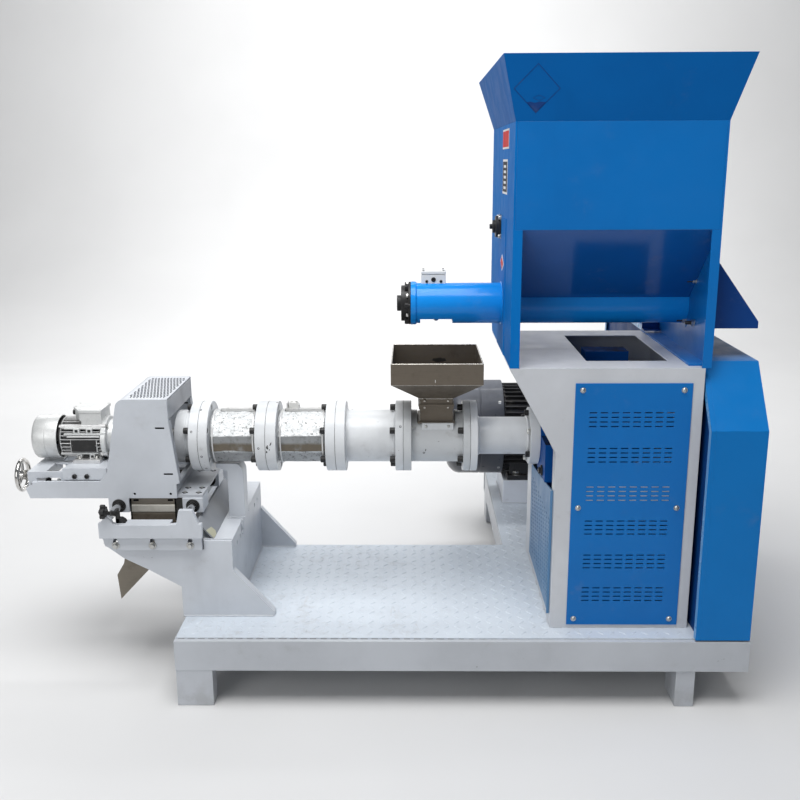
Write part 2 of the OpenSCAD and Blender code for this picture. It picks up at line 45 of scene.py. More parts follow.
# ---------------------------------------------------------------- places
# Working coordinates: millimetres from the deck's front edge, as in the CAD
# source; the offset comes from the deck plate's own box.
_lo, _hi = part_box("deck_plate")
OX, OY, OZ = _lo.x * 1000 + 647, _lo.y * 1000 - 14, _hi.z * 1000 - 228


def P(p):
    return Vector(((p[0] + OX) / 1000, (p[1] + OY) / 1000, (p[2] + OZ) / 1000))


def BX(node):
    """Box of a CAD node in working millimetres: x0, y0, z0, x1, y1, z1."""
    a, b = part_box(node)
    return (a.x * 1000 - OX, a.y * 1000 - OY, a.z * 1000 - OZ,
            b.x * 1000 - OX, b.y * 1000 - OY, b.z * 1000 - OZ)


# ---------------------------------------------------------------- mesh maker
AX = {"x": Vector((1, 0, 0)), "-x": Vector((-1, 0, 0)), "y": Vector((0, 1, 0)),
      "-y": Vector((0, -1, 0)), "z": Vector((0, 0, 1)), "-z": Vector((0, 0, -1))}


def basis(d):
    d = Vector(d).normalized()
    h = Vector((0, 0, 1)) if abs(d.z) < 0.9 else Vector((0, 1, 0))
    u = h.cross(d).normalized()
    return d, u, d.cross(u)


class Mesh:
    def __init__(s):
        s.v, s.f, s.m = [], [], []

    def add(s, vs, fs, mi=0):
        b = len(s.v)
        s.v += [Vector(v) for v in vs]
        s.f += [[b + i for i in f] for f in fs]
        s.m += [mi] * len(fs)

    def box(s, a, b, mi=0):
        x0, y0, z0 = a
        x1, y1, z1 = b
        s.add([(x0, y0, z0), (x1, y0, z0), (x1, y1, z0), (x0, y1, z0),
               (x0, y0, z1), (x1, y0, z1), (x1, y1, z1), (x0, y1, z1)],
              [[0, 3, 2, 1], [4, 5, 6, 7], [0, 1, 5, 4], [1, 2, 6, 5], [2, 3, 7, 6], [3, 0, 4, 7]], mi)

    def prism(s, poly, t0, t1, axis="y", mi=0):
        """Outline (pairs) extruded along an axis; pairs are (x, z), (y, z) or (x, y)."""
        def pt(p, t):
            return {"y": (p[0], t, p[1]), "x": (t, p[0], p[1]), "z": (p[0], p[1], t)}[axis]
        n = len(poly)
        s.add([pt(p, t0) for p in poly] + [pt(p, t1) for p in poly],
              [list(range(n))[::-1], list(range(n, 2 * n))] +
              [[i, (i + 1) % n, n + (i + 1) % n, n + i] for i in range(n)], mi)

    def lathe(s, o, d, prof, n=24, mi=0, ph=0.0):
        """Profile of (distance along d, radius) turned about the line through o."""
        o = Vector(o)
        d, u, w = basis(AX[d] if isinstance(d, str) else d)
        vs, rings = [], []
        for t, r in prof:
            if r <= 1e-6:
                rings.append([len(vs)])
                vs.append(o + d * t)
            else:
                rings.append(list(range(len(vs), len(vs) + n)))
                for k in range(n):
                    a = ph + 2 * math.pi * k / n
                    vs.append(o + d * t + (u * math.cos(a) + w * math.sin(a)) * r)
        fs = []
        for a, b in zip(rings, rings[1:]):
            for k in range(n):
                q = [a[k % len(a)], a[(k + 1) % len(a)], b[(k + 1) % len(b)], b[k % len(b)]]
                q2 = []
                for i in q:
                    if i not in q2:
                        q2.append(i)
                if len(q2) > 2:
                    fs.append(q2)
        if len(rings[0]) > 1:
            fs.append(rings[0][::-1])
        if len(rings[-1]) > 1:
            fs.append(rings[-1])
        s.add(vs, fs, mi)

    def cyl(s, o, d, r, h, n=32, mi=0, c=0.0, ph=0.0):
        s.lathe(o, d, [(0, r - c), (c, r), (h - c, r), (h, r - c)] if c else [(0, r), (h, r)], n, mi, ph)

    def ring(s, o, d, r0, r1, h, n=48, mi=0, c=0.0):
        """Flat ring from radius r0 to r1."""
        o = Vector(o)
        dd, u, w = basis(AX[d] if isinstance(d, str) else d)
        prof = [(0, r0), (0, r1 - c), (c, r1), (h - c, r1), (h, r1 - c), (h, r0)]
        vs = []
        for t, r in prof:
            for k in range(n):
                a = 2 * math.pi * k / n
                vs.append(o + dd * t + (u * math.cos(a) + w * math.sin(a)) * r)
        m = len(prof)
        s.add(vs, [[i * n + k, i * n + (k + 1) % n, ((i + 1) % m) * n + (k + 1) % n, ((i + 1) % m) * n + k]
                   for i in range(m) for k in range(n)], mi)

    def tube(s, path, r, n=10, mi=0, closed=False):
        """Round bar along a path; r is a number or a list, one per point."""
        pts = [Vector(p) for p in path]
        vs = []
        up = None
        for i, p in enumerate(pts):
            a = pts[i - 1] if (i or closed) else pts[i]
            b = pts[(i + 1) % len(pts)] if (i + 1 < len(pts) or closed) else pts[i]
            d = (b - a).normalized()
            if up is None:
                _, up, _ = basis(d)
            up = (up - d * up.dot(d)).normalized()
            w = d.cross(up)
            rr = r[i] if isinstance(r, list) else r
            for k in range(n):
                t = 2 * math.pi * k / n
                vs.append(p + (up * math.cos(t) + w * math.sin(t)) * rr)
        m = len(pts)
        fs = [[i * n + k, i * n + (k + 1) % n, ((i + 1) % m) * n + (k + 1) % n, ((i + 1) % m) * n + k]
              for i in range(m if closed else m - 1) for k in range(n)]
        if not closed:
            fs += [list(range(n))[::-1], list(range((m - 1) * n, m * n))]
        s.add(vs, fs, mi)

    def shell(s, pts, faces, f0, f1, mi=0, wall=None):
        """Sheet: a flat mesh of pts and faces laid on two surfaces and closed round every edge."""
        n = len(pts)
        edge = {}
        fs = []
        for f in faces:
            fs += [list(f), [n + i for i in reversed(f)]]
            for a, b in zip(f, f[1:] + f[:1]):
                edge.setdefault((min(a, b), max(a, b)), []).append((a, b))
        rim = [e[0] for e in edge.values() if len(e) == 1]
        fs += [[b, a, n + a, n + b] for a, b in rim]
        s.add([f0(*p) for p in pts] + [f1(*p) for p in pts], fs, mi)
        if wall:
            j = len(s.m) - len(rim)
            for i, (a, b) in enumerate(rim):
                if wall(a, b):
                    s.m[j + i] = mi + 1

    def weld(s, path, r=2.6, step=2.2, mi=0):
        """Ripple bead along a path."""
        pts = [Vector(p) for p in path]
        out, rad = [], []
        d0 = 0.0
        for a, b in zip(pts, pts[1:]):
            L = (b - a).length
            k = max(2, int(L / step))
            for i in range(k):
                q = a.lerp(b, i / k)
                j = len(out)
                w = noise.noise(q * 0.05)
                out.append(q + Vector((noise.noise(q * 0.2), noise.noise(q * 0.2 + Vector((9, 0, 0))), 0)) * 0.5)
                rad.append(r * (0.86 + 0.2 * (j % 2) + 0.22 * w))
            d0 += L
        out.append(pts[-1])
        rad.append(r * 0.6)
        s.tube(out, rad, 6, mi)


PIECES = []


def make(name, mesh, body, mats, replaces=None, bevel=0.0, seg=2, angle=32):
    me = bpy.data.meshes.new(name)
    me.from_pydata([P(v) for v in mesh.v], [], mesh.f)
    for m in mats if isinstance(mats, (list, tuple)) else [mats]:
        me.materials.append(m)
    for p, mi in zip(me.polygons, mesh.m):
        p.material_index = mi
    bm = bmesh.new()
    bm.from_mesh(me)
    bmesh.ops.recalc_face_normals(bm, faces=bm.faces[:])
    bm.to_mesh(me)
    bm.free()
    for p in me.polygons:
        p.use_smooth = True
    me.set_sharp_from_angle(angle=math.radians(angle))
    o = bpy.data.objects.new(name, me)
    bpy.context.scene.collection.objects.link(o)
    if bevel:
        add_bevel(o, bevel, seg)
    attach(o, body)
    if replaces:
        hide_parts(*([replaces] if isinstance(replaces, str) else replaces))
    PIECES.append(o)
    return o


def add_bevel(o, w, seg=2, lim=35, smooth=True):
    b = o.modifiers.new("edges", "BEVEL")
    b.width = w / 1000
    b.segments = seg
    b.limit_method = "ANGLE"
    b.angle_limit = math.radians(lim)
    b.use_clamp_overlap = not smooth
    b.harden_normals = smooth
    b.miter_outer = "MITER_ARC" if smooth else "MITER_SHARP"


ROUND = ("guide_rods", "die_head", "barrel_segment_a", "barrel_segment_b", "barrel_segment_c", "inlet_segment", "bearing_housing",
         "hopper_bearing", "feeder_tube", "feeder_end_cap", "feed_screw", "adjusting_screw", "handwheel", "barrel_support")


def dress(node, mat, w=0.9, seg=2, lim=35):
    """Finish for a CAD node that is shown as it is: paint, joined faces, small rounded edges; flat sheets stay flat shaded."""
    o = nodes[node]
    me = o.data
    me.materials.clear()
    me.materials.append(mat)
    me.polygons.foreach_set("material_index", [0] * len(me.polygons))
    for a in ("custom_normal", "sharp_edge", "sharp_face"):
        if a in me.attributes:
            me.attributes.remove(me.attributes[a])
    smooth = node in ROUND
    me.polygons.foreach_set("use_smooth", [smooth] * len(me.polygons))
    m = o.modifiers.new("join", "WELD")
    m.merge_threshold = 0.00002
    if node != "hopper_flare":
        # the flare's rim is a flat ring, which a dissolve would fill across the hopper's mouth
        m = o.modifiers.new("faces", "DECIMATE")
        m.decimate_type = "DISSOLVE"
        m.angle_limit = math.radians(0.6)
    add_bevel(o, w, seg, lim, smooth)


def frange(a, b, n):
    return [a + (b - a) * i / n for i in range(n + 1)]


# ---------------------------------------------------------------- materials
class G:
    def __init__(s, name, seed=0.0):
        s.m = bpy.data.materials.new(name)
        s.m.use_nodes = True
        s.nt = s.m.node_tree
        s.nt.nodes.clear()
        s.out = s.nt.nodes.new("ShaderNodeOutputMaterial")
        s.b = s.nt.nodes.new("ShaderNodeBsdfPrincipled")
        s.nt.links.new(s.b.outputs[0], s.out.inputs[0])
        tc = s.nt.nodes.new("ShaderNodeTexCoord")
        mp = s.nt.nodes.new("ShaderNodeMapping")
        mp.inputs["Location"].default_value = (seed, seed * 1.7, seed * 0.6)
        s.link(tc.outputs["Object"], mp.inputs["Vector"])
        s.raw = tc.outputs["Object"]
        s.co = mp.outputs[0]

    def link(s, a, b):
        s.nt.links.new(a, b)

    def scale(s, sx, sy, sz, rot=(0, 0, 0), raw=False):
        mp = s.nt.nodes.new("ShaderNodeMapping")
        mp.inputs["Scale"].default_value = (sx, sy, sz)
        mp.inputs["Rotation"].default_value = rot
        s.link(s.raw if raw else s.co, mp.inputs["Vector"])
        return mp.outputs[0]

    def noise(s, sc, det=4, rough=0.55, dist=0.0, vec=None):
        n = s.nt.nodes.new("ShaderNodeTexNoise")
        n.inputs["Scale"].default_value = sc
        n.inputs["Detail"].default_value = det
        n.inputs["Roughness"].default_value = rough
        n.inputs["Distortion"].default_value = dist
        s.link(vec or s.co, n.inputs["Vector"])
        return n.outputs["Fac"]

    def vor(s, sc, feature="F1", vec=None, out="Distance"):
        n = s.nt.nodes.new("ShaderNodeTexVoronoi")
        n.feature = feature
        n.inputs["Scale"].default_value = sc
        s.link(vec or s.co, n.inputs["Vector"])
        return n.outputs[out]

    def rng(s, f, a, b, c=0.0, d=1.0):
        n = s.nt.nodes.new("ShaderNodeMapRange")
        n.interpolation_type = "SMOOTHSTEP"
        for k, v in zip(("From Min", "From Max", "To Min", "To Max"), (a, b, c, d)):
            n.inputs[k].default_value = v
        s.link(f, n.inputs["Value"])
        return n.outputs[0]

    def math(s, op, a, b):
        n = s.nt.nodes.new("ShaderNodeMath")
        n.operation = op
        for i, v in enumerate((a, b)):
            if isinstance(v, (int, float)):
                n.inputs[i].default_value = v
            else:
                s.link(v, n.inputs[i])
        return n.outputs[0]

    def mix(s, f, a, b):
        n = s.nt.nodes.new("ShaderNodeMix")
        n.data_type = "RGBA"
        s.link(f, n.inputs[0])
        for i, v in ((6, a), (7, b)):
            if isinstance(v, tuple):
                n.inputs[i].default_value = (*v[:3], 1)
            else:
                s.link(v, n.inputs[i])
        return n.outputs[2]

    def xyz(s, vec=None):
        n = s.nt.nodes.new("ShaderNodeSeparateXYZ")
        s.link(vec or s.raw, n.inputs[0])
        return n.outputs

    def nz(s):
        g = s.nt.nodes.new("ShaderNodeNewGeometry")
        return s.xyz(g.outputs["Normal"])[2]

    def bump(s, h, strength=0.2, dist=0.001, prev=None):
        n = s.nt.nodes.new("ShaderNodeBump")
        n.inputs["Strength"].default_value = strength
        n.inputs["Distance"].default_value = dist
        s.link(h, n.inputs["Height"])
        if prev is not None:
            s.link(prev, n.inputs["Normal"])
        s.link(n.outputs[0], s.b.inputs["Normal"])
        return n.outputs[0]

    def set(s, **k):
        for n, v in k.items():
            n = {"rough": "Roughness", "col": "Base Color", "metal": "Metallic", "coat": "Coat Weight",
                 "coatr": "Coat Roughness", "spec": "Specular IOR Level"}[n]
            if isinstance(v, (int, float)):
                s.b.inputs[n].default_value = v
            elif isinstance(v, tuple):
                s.b.inputs[n].default_value = (*v[:3], 1)
            else:
                s.link(v, s.b.inputs[n])


def sc(c, k):
    return tuple(x * k for x in c)


def paint(name, base, seed=0.0, rough=(0.3, 0.45), coat=0.15, dust_and_shade=0.2, dust_and_shade_col=(0.50, 0.49, 0.46), grime=0.35,
          chips=0.0, chipc=(0.06, 0.055, 0.05), peel=0.10, cast=0.0, tint=None, low=True, spec=0.4):
    """Brushed or sprayed paint: cloudy tone, grime, a tint on top faces (dusty on most paints, painted shade where the
    tint is near black), thin runs, rare chips, orange peel.
    """
    g = G(name, seed)
    n1, n2, n3 = g.noise(2.6, 5, 0.6), g.noise(17, 6, 0.62), g.noise(95, 3)
    tint = tint or sc(base, 0.86)
    col = g.mix(g.rng(n1, 0.34, 0.68, 0, 1), base, tint)
    runs = g.noise(9, 5, 0.6, 0.4, g.scale(1, 1, 0.16))
    col = g.mix(g.rng(runs, 0.56, 0.82, 0, grime), col, sc(base, 0.62))
    smudge = g.math("MULTIPLY", g.rng(n2, 0.56, 0.76), g.rng(n1, 0.44, 0.62, 0, grime * 1.3))
    col = g.mix(smudge, col, (0.23, 0.21, 0.19))
    # top faces tinted towards dust_and_shade_col: dusty on most paints, painted shade on the gearbox
    up = g.math("MULTIPLY", g.rng(g.nz(), 0.55, 1.0, 0, dust_and_shade), g.rng(n2, 0.28, 0.7, 0.35, 1))
    col = g.mix(up, col, dust_and_shade_col)
    if low:
        z = g.xyz()[2]
        foot = g.math("MULTIPLY", g.rng(z, 0.12, 0.0, 0, 0.28), g.rng(n2, 0.38, 0.66))
        col = g.mix(foot, col, (0.16, 0.14, 0.12))
    speck = g.math("MULTIPLY", g.rng(g.vor(210), 0.11, 0.05), g.rng(n2, 0.52, 0.6, 0, 0.55))
    col = g.mix(speck, col, (0.12, 0.11, 0.10))
    if chips:
        ch = g.math("MULTIPLY", g.rng(g.noise(48, 5, 0.7, 0.6), 0.70 - chips, 0.715 - chips), g.rng(n1, 0.5, 0.56))
        col = g.mix(ch, col, chipc)
    r = g.math("ADD", g.rng(n2, 0.3, 0.75, rough[0], rough[1]), up)
    g.set(col=col, rough=r, coat=coat, coatr=0.12, spec=spec)
    p = g.bump(g.noise(330, 2, 0.5), peel, 0.0006)
    if cast:
        p = g.bump(n3, cast, 0.0014, p)
    g.bump(runs, 0.05, 0.0012, p)
    return g.m


def metal(name, base, seed=0.0, rough=(0.2, 0.42), axis=None, stain=None, stainw=0.4, lines=0.25, metallic=1.0, pit=0.12):
    """Bare metal: brushed lines or cast grain, smears, stains."""
    g = G(name, seed)
    n1, n2 = g.noise(5, 5, 0.6), g.noise(38, 6, 0.65)
    if axis:
        k = {"x": (0.02, 1, 1), "y": (1, 0.02, 1), "z": (1, 1, 0.02)}[axis]
        fine = g.noise(900, 3, 0.6, 0, g.scale(*k))
    else:
        fine = g.noise(520, 4, 0.6)
    col = g.mix(g.rng(n1, 0.35, 0.7), base, sc(base, 0.78))
    col = g.mix(g.rng(fine, 0.35, 0.7, 0, 0.35), col, sc(base, 1.18))
    col = g.mix(g.math("MULTIPLY", g.rng(n2, 0.5, 0.75), g.rng(n1, 0.4, 0.62, 0, stainw)), col, stain or sc(base, 0.5))
    g.set(col=col, rough=g.rng(n2, 0.25, 0.75, rough[0], rough[1]), metal=metallic)
    p = g.bump(fine, lines, 0.0004)
    g.bump(n2, pit, 0.0008, p)
    return g.m


WHITE = (0.575, 0.605, 0.65)
# base frame: the white paint darkened, a painted shade
M_base_shaded = paint("paint_base_frame_shaded", sc(WHITE, 0.86), 1.0, grime=0.14, chips=0.010, dust_and_shade=0.08, cast=0.10)
M_plate = paint("paint_plates", WHITE, 2.2, grime=0.22, chips=0.004, dust_and_shade=0.08)
M_hood = paint("paint_hood", sc(WHITE, 1.0), 3.1, grime=0.18, chips=0.0, dust_and_shade=0.06, rough=(0.3, 0.42))
M_barrel = paint("paint_barrel", (0.70, 0.72, 0.74), 4.4, grime=0.34, chips=0.026, dust_and_shade=0.10, cast=0.35, rough=(0.32, 0.5), coat=0.2)
# inlet segment: the barrel's white paint darkened, a painted shade
M_inlet_shaded = paint("paint_inlet_segment_shaded", (0.60, 0.62, 0.635), 4.8, grime=0.34, chips=0.02, dust_and_shade=0.08, cast=0.35, rough=(0.34, 0.5), coat=0.1)
# hood end plates: the white paint darkened, painted shade on the right-facing plates
M_end_shaded = paint("paint_hood_ends_shaded", sc(WHITE, 0.62), 3.7, grime=0.2, dust_and_shade=0.05, spec=0.2, coat=0.02)
# carriage: the white paint darkened, a painted shade
M_carr_shaded = paint("paint_carriage_shaded", sc(WHITE, 0.74), 3.9, grime=0.3, dust_and_shade=0.06, spec=0.25, coat=0.03)
# splash plate: the white paint darkened, a painted shade
M_splash_shaded = paint("paint_splash_plate_shaded", sc(WHITE, 0.52), 2.9, grime=0.35, dust_and_shade=0.05, spec=0.15, coat=0.0)
M_void = paint("shadow_black", (0.004, 0.004, 0.005), 12.9, rough=(0.7, 0.85), coat=0.0, dust_and_shade=0.02, grime=0.1, low=False, spec=0.03)
# inside of the belt guard: the blue darkened to navy, a painted shade
M_guard_inside_shade = paint("paint_guard_inside_shaded", (0.003, 0.045, 0.19), 8.3, rough=(0.42, 0.6), coat=0.0, dust_and_shade=0.1, grime=0.35, tint=(0.003, 0.036, 0.155), dust_and_shade_col=(0.05, 0.06, 0.09), spec=0.12)
# gearbox: upward faces tinted near black, a painted shade
M_gear = paint("paint_gearbox", (0.003, 0.075, 0.31), 8.9, rough=(0.4, 0.55), coat=0.0, dust_and_shade=0.92, grime=0.2, tint=(0.002, 0.062, 0.26), dust_and_shade_col=(0.012, 0.014, 0.022), spec=0.08)
M_cab = paint("paint_cabinet", (0.60, 0.62, 0.655), 5.7, grime=0.18, chips=0.0, dust_and_shade=0.07)
M_mount = paint("paint_motor_mount", (0.76, 0.80, 0.87), 9.7, grime=0.3, chips=0.01, dust_and_shade=0.16)
BLUE = (0.003, 0.150, 0.475)
M_blue = paint("paint_blue", BLUE, 6.3, rough=(0.28, 0.42), coat=0.04, dust_and_shade=0.04, grime=0.12, chips=0.0, tint=(0.003, 0.137, 0.44), dust_and_shade_col=(0.20, 0.30, 0.46), spec=0.22, peel=0.05)
M_side = paint("paint_blue_side", (0.004, 0.16, 0.50), 6.6, rough=(0.55, 0.7), coat=0.0, dust_and_shade=0.03, grime=0.15, tint=(0.003, 0.14, 0.46), spec=0.04, peel=0.02)
M_flare = paint("paint_blue_flare", (0.003, 0.118, 0.40), 6.9, rough=(0.5, 0.65), coat=0.0, dust_and_shade=0.03, grime=0.15, tint=(0.003, 0.105, 0.365), spec=0.05, peel=0.03)
M_tube = paint("paint_blue_tube", (0.006, 0.25, 0.74), 7.1, rough=(0.16, 0.26), coat=0.16, dust_and_shade=0.02, grime=0.12, tint=(0.005, 0.23, 0.68), cast=0.10, spec=0.2, dust_and_shade_col=(0.25, 0.36, 0.5))
# hopper trough: the blue darkened, a painted shade
M_trough_shaded = paint("paint_blue_trough_shaded", (0.004, 0.080, 0.32), 7.9, rough=(0.10, 0.18), coat=0.35, dust_and_shade=0.01, grime=0.12, tint=(0.005, 0.075, 0.29), peel=0.05)
M_guard = paint("paint_blue_guard", (0.003, 0.165, 0.49), 8.2, rough=(0.3, 0.44), coat=0.02, dust_and_shade=0.03, grime=0.12, tint=(0.003, 0.15, 0.45), dust_and_shade_col=(0.16, 0.28, 0.46), spec=0.16, peel=0.04)
# lighter blue for the guard's left rim: a painted highlight
M_guard_rim_highlight = paint("paint_blue_rim_highlight", (0.06, 0.30, 0.62), 8.5, rough=(0.24, 0.38), coat=0.2, dust_and_shade=0.05, grime=0.2, tint=(0.05, 0.27, 0.57))
M_navy = paint("paint_navy", (0.004, 0.050, 0.225), 8.8, rough=(0.28, 0.42), coat=0.05, dust_and_shade=0.05, grime=0.15, tint=(0.003, 0.043, 0.20), dust_and_shade_col=(0.12, 0.18, 0.32), spec=0.22)
M_vent = paint("paint_side_vent", (0.11, 0.235, 0.40), 9.1, rough=(0.35, 0.5), dust_and_shade=0.08, grime=0.30, tint=(0.09, 0.20, 0.37), spec=0.2, coat=0.0)
M_blackp = paint("paint_black_motor", (0.016, 0.016, 0.018), 10.2, rough=(0.32, 0.5), coat=0.1, dust_and_shade=0.25, grime=0.25, dust_and_shade_col=(0.14, 0.13, 0.12), tint=(0.022, 0.022, 0.024), cast=0.3)
M_grey = paint("paint_grey_motor", (0.055, 0.060, 0.074), 11.3, rough=(0.26, 0.4), coat=0.1, dust_and_shade=0.55, dust_and_shade_col=(0.26, 0.275, 0.31), grime=0.35, tint=(0.045, 0.05, 0.062), chips=0.02, chipc=(0.55, 0.55, 0.55))
M_black = paint("black_oxide", (0.013, 0.013, 0.014), 12.4, rough=(0.34, 0.5), coat=0.0, dust_and_shade=0.05, grime=0.2, dust_and_shade_col=(0.12, 0.11, 0.10), tint=(0.02, 0.019, 0.018), low=False)
M_rubber = paint("black_plastic", (0.012, 0.012, 0.013), 13.5, rough=(0.38, 0.55), coat=0.0, dust_and_shade=0.06, grime=0.2, dust_and_shade_col=(0.12, 0.12, 0.12), tint=(0.018, 0.018, 0.018), low=False)
M_whitepl = paint("white_plastic", (0.74, 0.74, 0.72), 14.6, rough=(0.35, 0.5), coat=0.0, dust_and_shade=0.12, grime=0.25, low=False)
M_holes = paint("shaded_holes", (0.20, 0.21, 0.25), 14.2, rough=(0.5, 0.7), coat=0.0, dust_and_shade=0.1, grime=0.3, low=False)
M_seam = paint("seam_grime", (0.34, 0.35, 0.37), 14.8, rough=(0.5, 0.7), coat=0.0, dust_and_shade=0.0, grime=0.5, low=False)
# dark strips along joints: painted shadow
M_joint_shadow = paint("joint_grime", (0.07, 0.072, 0.08), 14.7, rough=(0.5, 0.7), coat=0.0, dust_and_shade=0.0, grime=0.5, low=False, spec=0.1)
M_patch = paint("bare_patch", (0.56, 0.55, 0.40), 14.9, rough=(0.4, 0.6), coat=0.0, dust_and_shade=0.1, grime=0.5, low=False)
M_red = paint("label_red", (0.62, 0.022, 0.02), 15.1, rough=(0.5, 0.6), coat=0.0, spec=0.06, dust_and_shade=0.05, grime=0.2, low=False)
M_lwhite = paint("label_white", (0.80, 0.80, 0.79), 15.9, rough=(0.5, 0.6), coat=0.0, spec=0.06, dust_and_shade=0.05, grime=0.2, low=False)
M_lblack = paint("label_black", (0.02, 0.022, 0.03), 16.7, rough=(0.5, 0.6), coat=0.0, spec=0.06, dust_and_shade=0.05, grime=0.2, low=False)
M_zinc = metal("zinc_plated", (0.56, 0.56, 0.54), 17.2, rough=(0.26, 0.45), stain=(0.25, 0.21, 0.16), pit=0.1)
M_rod = metal("ground_rod", (0.62, 0.62, 0.62), 18.1, rough=(0.12, 0.24), axis="y", stain=(0.3, 0.26, 0.2), stainw=0.25)
M_chrome = metal("chrome", (0.70, 0.69, 0.67), 19.4, rough=(0.07, 0.18), stain=(0.3, 0.25, 0.18), stainw=0.35, lines=0.05)
M_alu = metal("cast_aluminium", (0.66, 0.66, 0.66), 20.2, rough=(0.34, 0.52), stain=(0.35, 0.34, 0.32), pit=0.3, lines=0.35, metallic=0.8)
M_aluf = metal("cowl_aluminium", (0.72, 0.73, 0.725), 21.8, rough=(0.34, 0.48), stain=(0.40, 0.40, 0.39), stainw=0.3, pit=0.12, lines=0.15, metallic=0.5)
M_inox = metal("stainless_dark", (0.150, 0.126, 0.098), 22.5, rough=(0.40, 0.56), axis="x", stain=(0.065, 0.050, 0.036), stainw=0.75, lines=0.3, metallic=0.45)
M_inoxb = metal("stainless_edge", (0.60, 0.57, 0.52), 23.9, rough=(0.2, 0.36), stain=(0.2, 0.16, 0.12), stainw=0.5)
M_strip = metal("jacket_strip", (0.74, 0.74, 0.73), 23.3, rough=(0.3, 0.45), stain=(0.35, 0.33, 0.30), stainw=0.4, metallic=0.55)
# brighter metal for the spout's band: a painted sheen
M_spout_sheen = metal("spout_painted_sheen", (0.55, 0.53, 0.48), 23.6, rough=(0.34, 0.48), axis="x", stain=(0.30, 0.27, 0.22), stainw=0.4, lines=0.2, metallic=0.5)
M_chute = metal("stainless_spout", (0.20, 0.178, 0.145), 24.4, rough=(0.38, 0.52), axis="x", stain=(0.09, 0.075, 0.055), stainw=0.6, lines=0.3, metallic=0.5)
M_weldb = paint("paint_weld", sc(WHITE, 0.96), 25.3, grime=0.45, chips=0.0, dust_and_shade=0.12, cast=0.5, low=False)
M_screw = metal("feeder_flight", (0.40, 0.39, 0.37), 26.1, rough=(0.3, 0.5), stain=(0.2, 0.16, 0.1), stainw=0.6)


def deck_paint():
    """Deck paint: pale, scuffed by boots, with dark smudges and specks."""
    g = G("paint_deck", 27.0)
    n1, n2, n3 = g.noise(3.2, 6, 0.62), g.noise(26, 6, 0.66), g.noise(130, 4)
    col = g.mix(g.rng(n1, 0.34, 0.66), (0.585, 0.64, 0.70), (0.535, 0.585, 0.645))
    col = g.mix(g.math("MULTIPLY", g.rng(n2, 0.5, 0.72), g.rng(n1, 0.4, 0.66, 0, 0.45)), col, (0.34, 0.33, 0.32))
    scuff = g.noise(60, 3, 0.6, 1.2, g.scale(1, 0.14, 1, (0, 0, 0.6)))
    col = g.mix(g.math("MULTIPLY", g.rng(scuff, 0.64, 0.70), g.rng(n1, 0.45, 0.6, 0, 0.35)), col, (0.42, 0.41, 0.40))
    speck = g.math("MULTIPLY", g.rng(g.vor(170), 0.10, 0.05), g.rng(n2, 0.5, 0.58, 0, 0.5))
    col = g.mix(speck, col, (0.16, 0.14, 0.12))
    g.set(col=col, rough=g.rng(n2, 0.3, 0.7, 0.34, 0.56), coat=0.1, coatr=0.2)
    p = g.bump(g.noise(330, 2), 0.1, 0.0006)
    g.bump(n3, 0.12, 0.001, p)
    return g.m


def foil():
    """Bright jacket sheet, lightly crumpled, with a painted dark reflection as a band along its front, grey above and
    brown below, and painted shade under it.
    """
    g = G("heater_foil", 28.0)
    n1, n2 = g.noise(9, 5, 0.6), g.noise(60, 6, 0.7)
    crease = g.vor(26, "DISTANCE_TO_EDGE", g.scale(1, 1.3, 1.3))
    crease2 = g.vor(85, "DISTANCE_TO_EDGE")
    col = g.mix(g.rng(n2, 0.35, 0.7), (0.72, 0.735, 0.74), (0.56, 0.575, 0.58))
    flake = g.math("MULTIPLY", g.rng(g.noise(120, 5, 0.75), 0.56, 0.61), g.rng(n1, 0.40, 0.55))
    col = g.mix(flake, col, (0.16, 0.16, 0.155))
    xyz = g.xyz()
    zc = (701 + OZ) / 1000
    wob = g.math("ADD", xyz[2], g.rng(g.noise(14, 3), 0, 1, -0.004, 0.004))
    # band along the front: a painted dark reflection
    band = g.math("MULTIPLY", g.rng(wob, zc - 0.027, zc - 0.025), g.rng(wob, zc + 0.0205, zc + 0.019))
    lowr = g.math("MULTIPLY", g.rng(wob, zc + 0.002, zc - 0.008), g.rng(n1, 0.36, 0.5))
    reflection_col = g.mix(lowr, (0.30, 0.31, 0.315), (0.15, 0.128, 0.098))
    reflection_col = g.mix(g.rng(n2, 0.5, 0.7, 0, 0.5), reflection_col, (0.12, 0.115, 0.105))
    col = g.mix(band, col, reflection_col)
    # painted shade on the jacket's lower side
    underside_shade = g.rng(xyz[2], zc - 0.024, zc - 0.034, 0, 0.55)
    col = g.mix(underside_shade, col, (0.13, 0.13, 0.13))
    g.set(col=col, rough=g.rng(n2, 0.3, 0.7, 0.34, 0.58), metal=0.55)
    p = g.bump(g.rng(crease, 0, 0.16), 0.22, 0.0014)
    p = g.bump(g.rng(crease2, 0, 0.2), 0.16, 0.0007, p)
    g.bump(n2, 0.3, 0.001, p)
    return g.m


M_deck = deck_paint()
M_foil = foil()

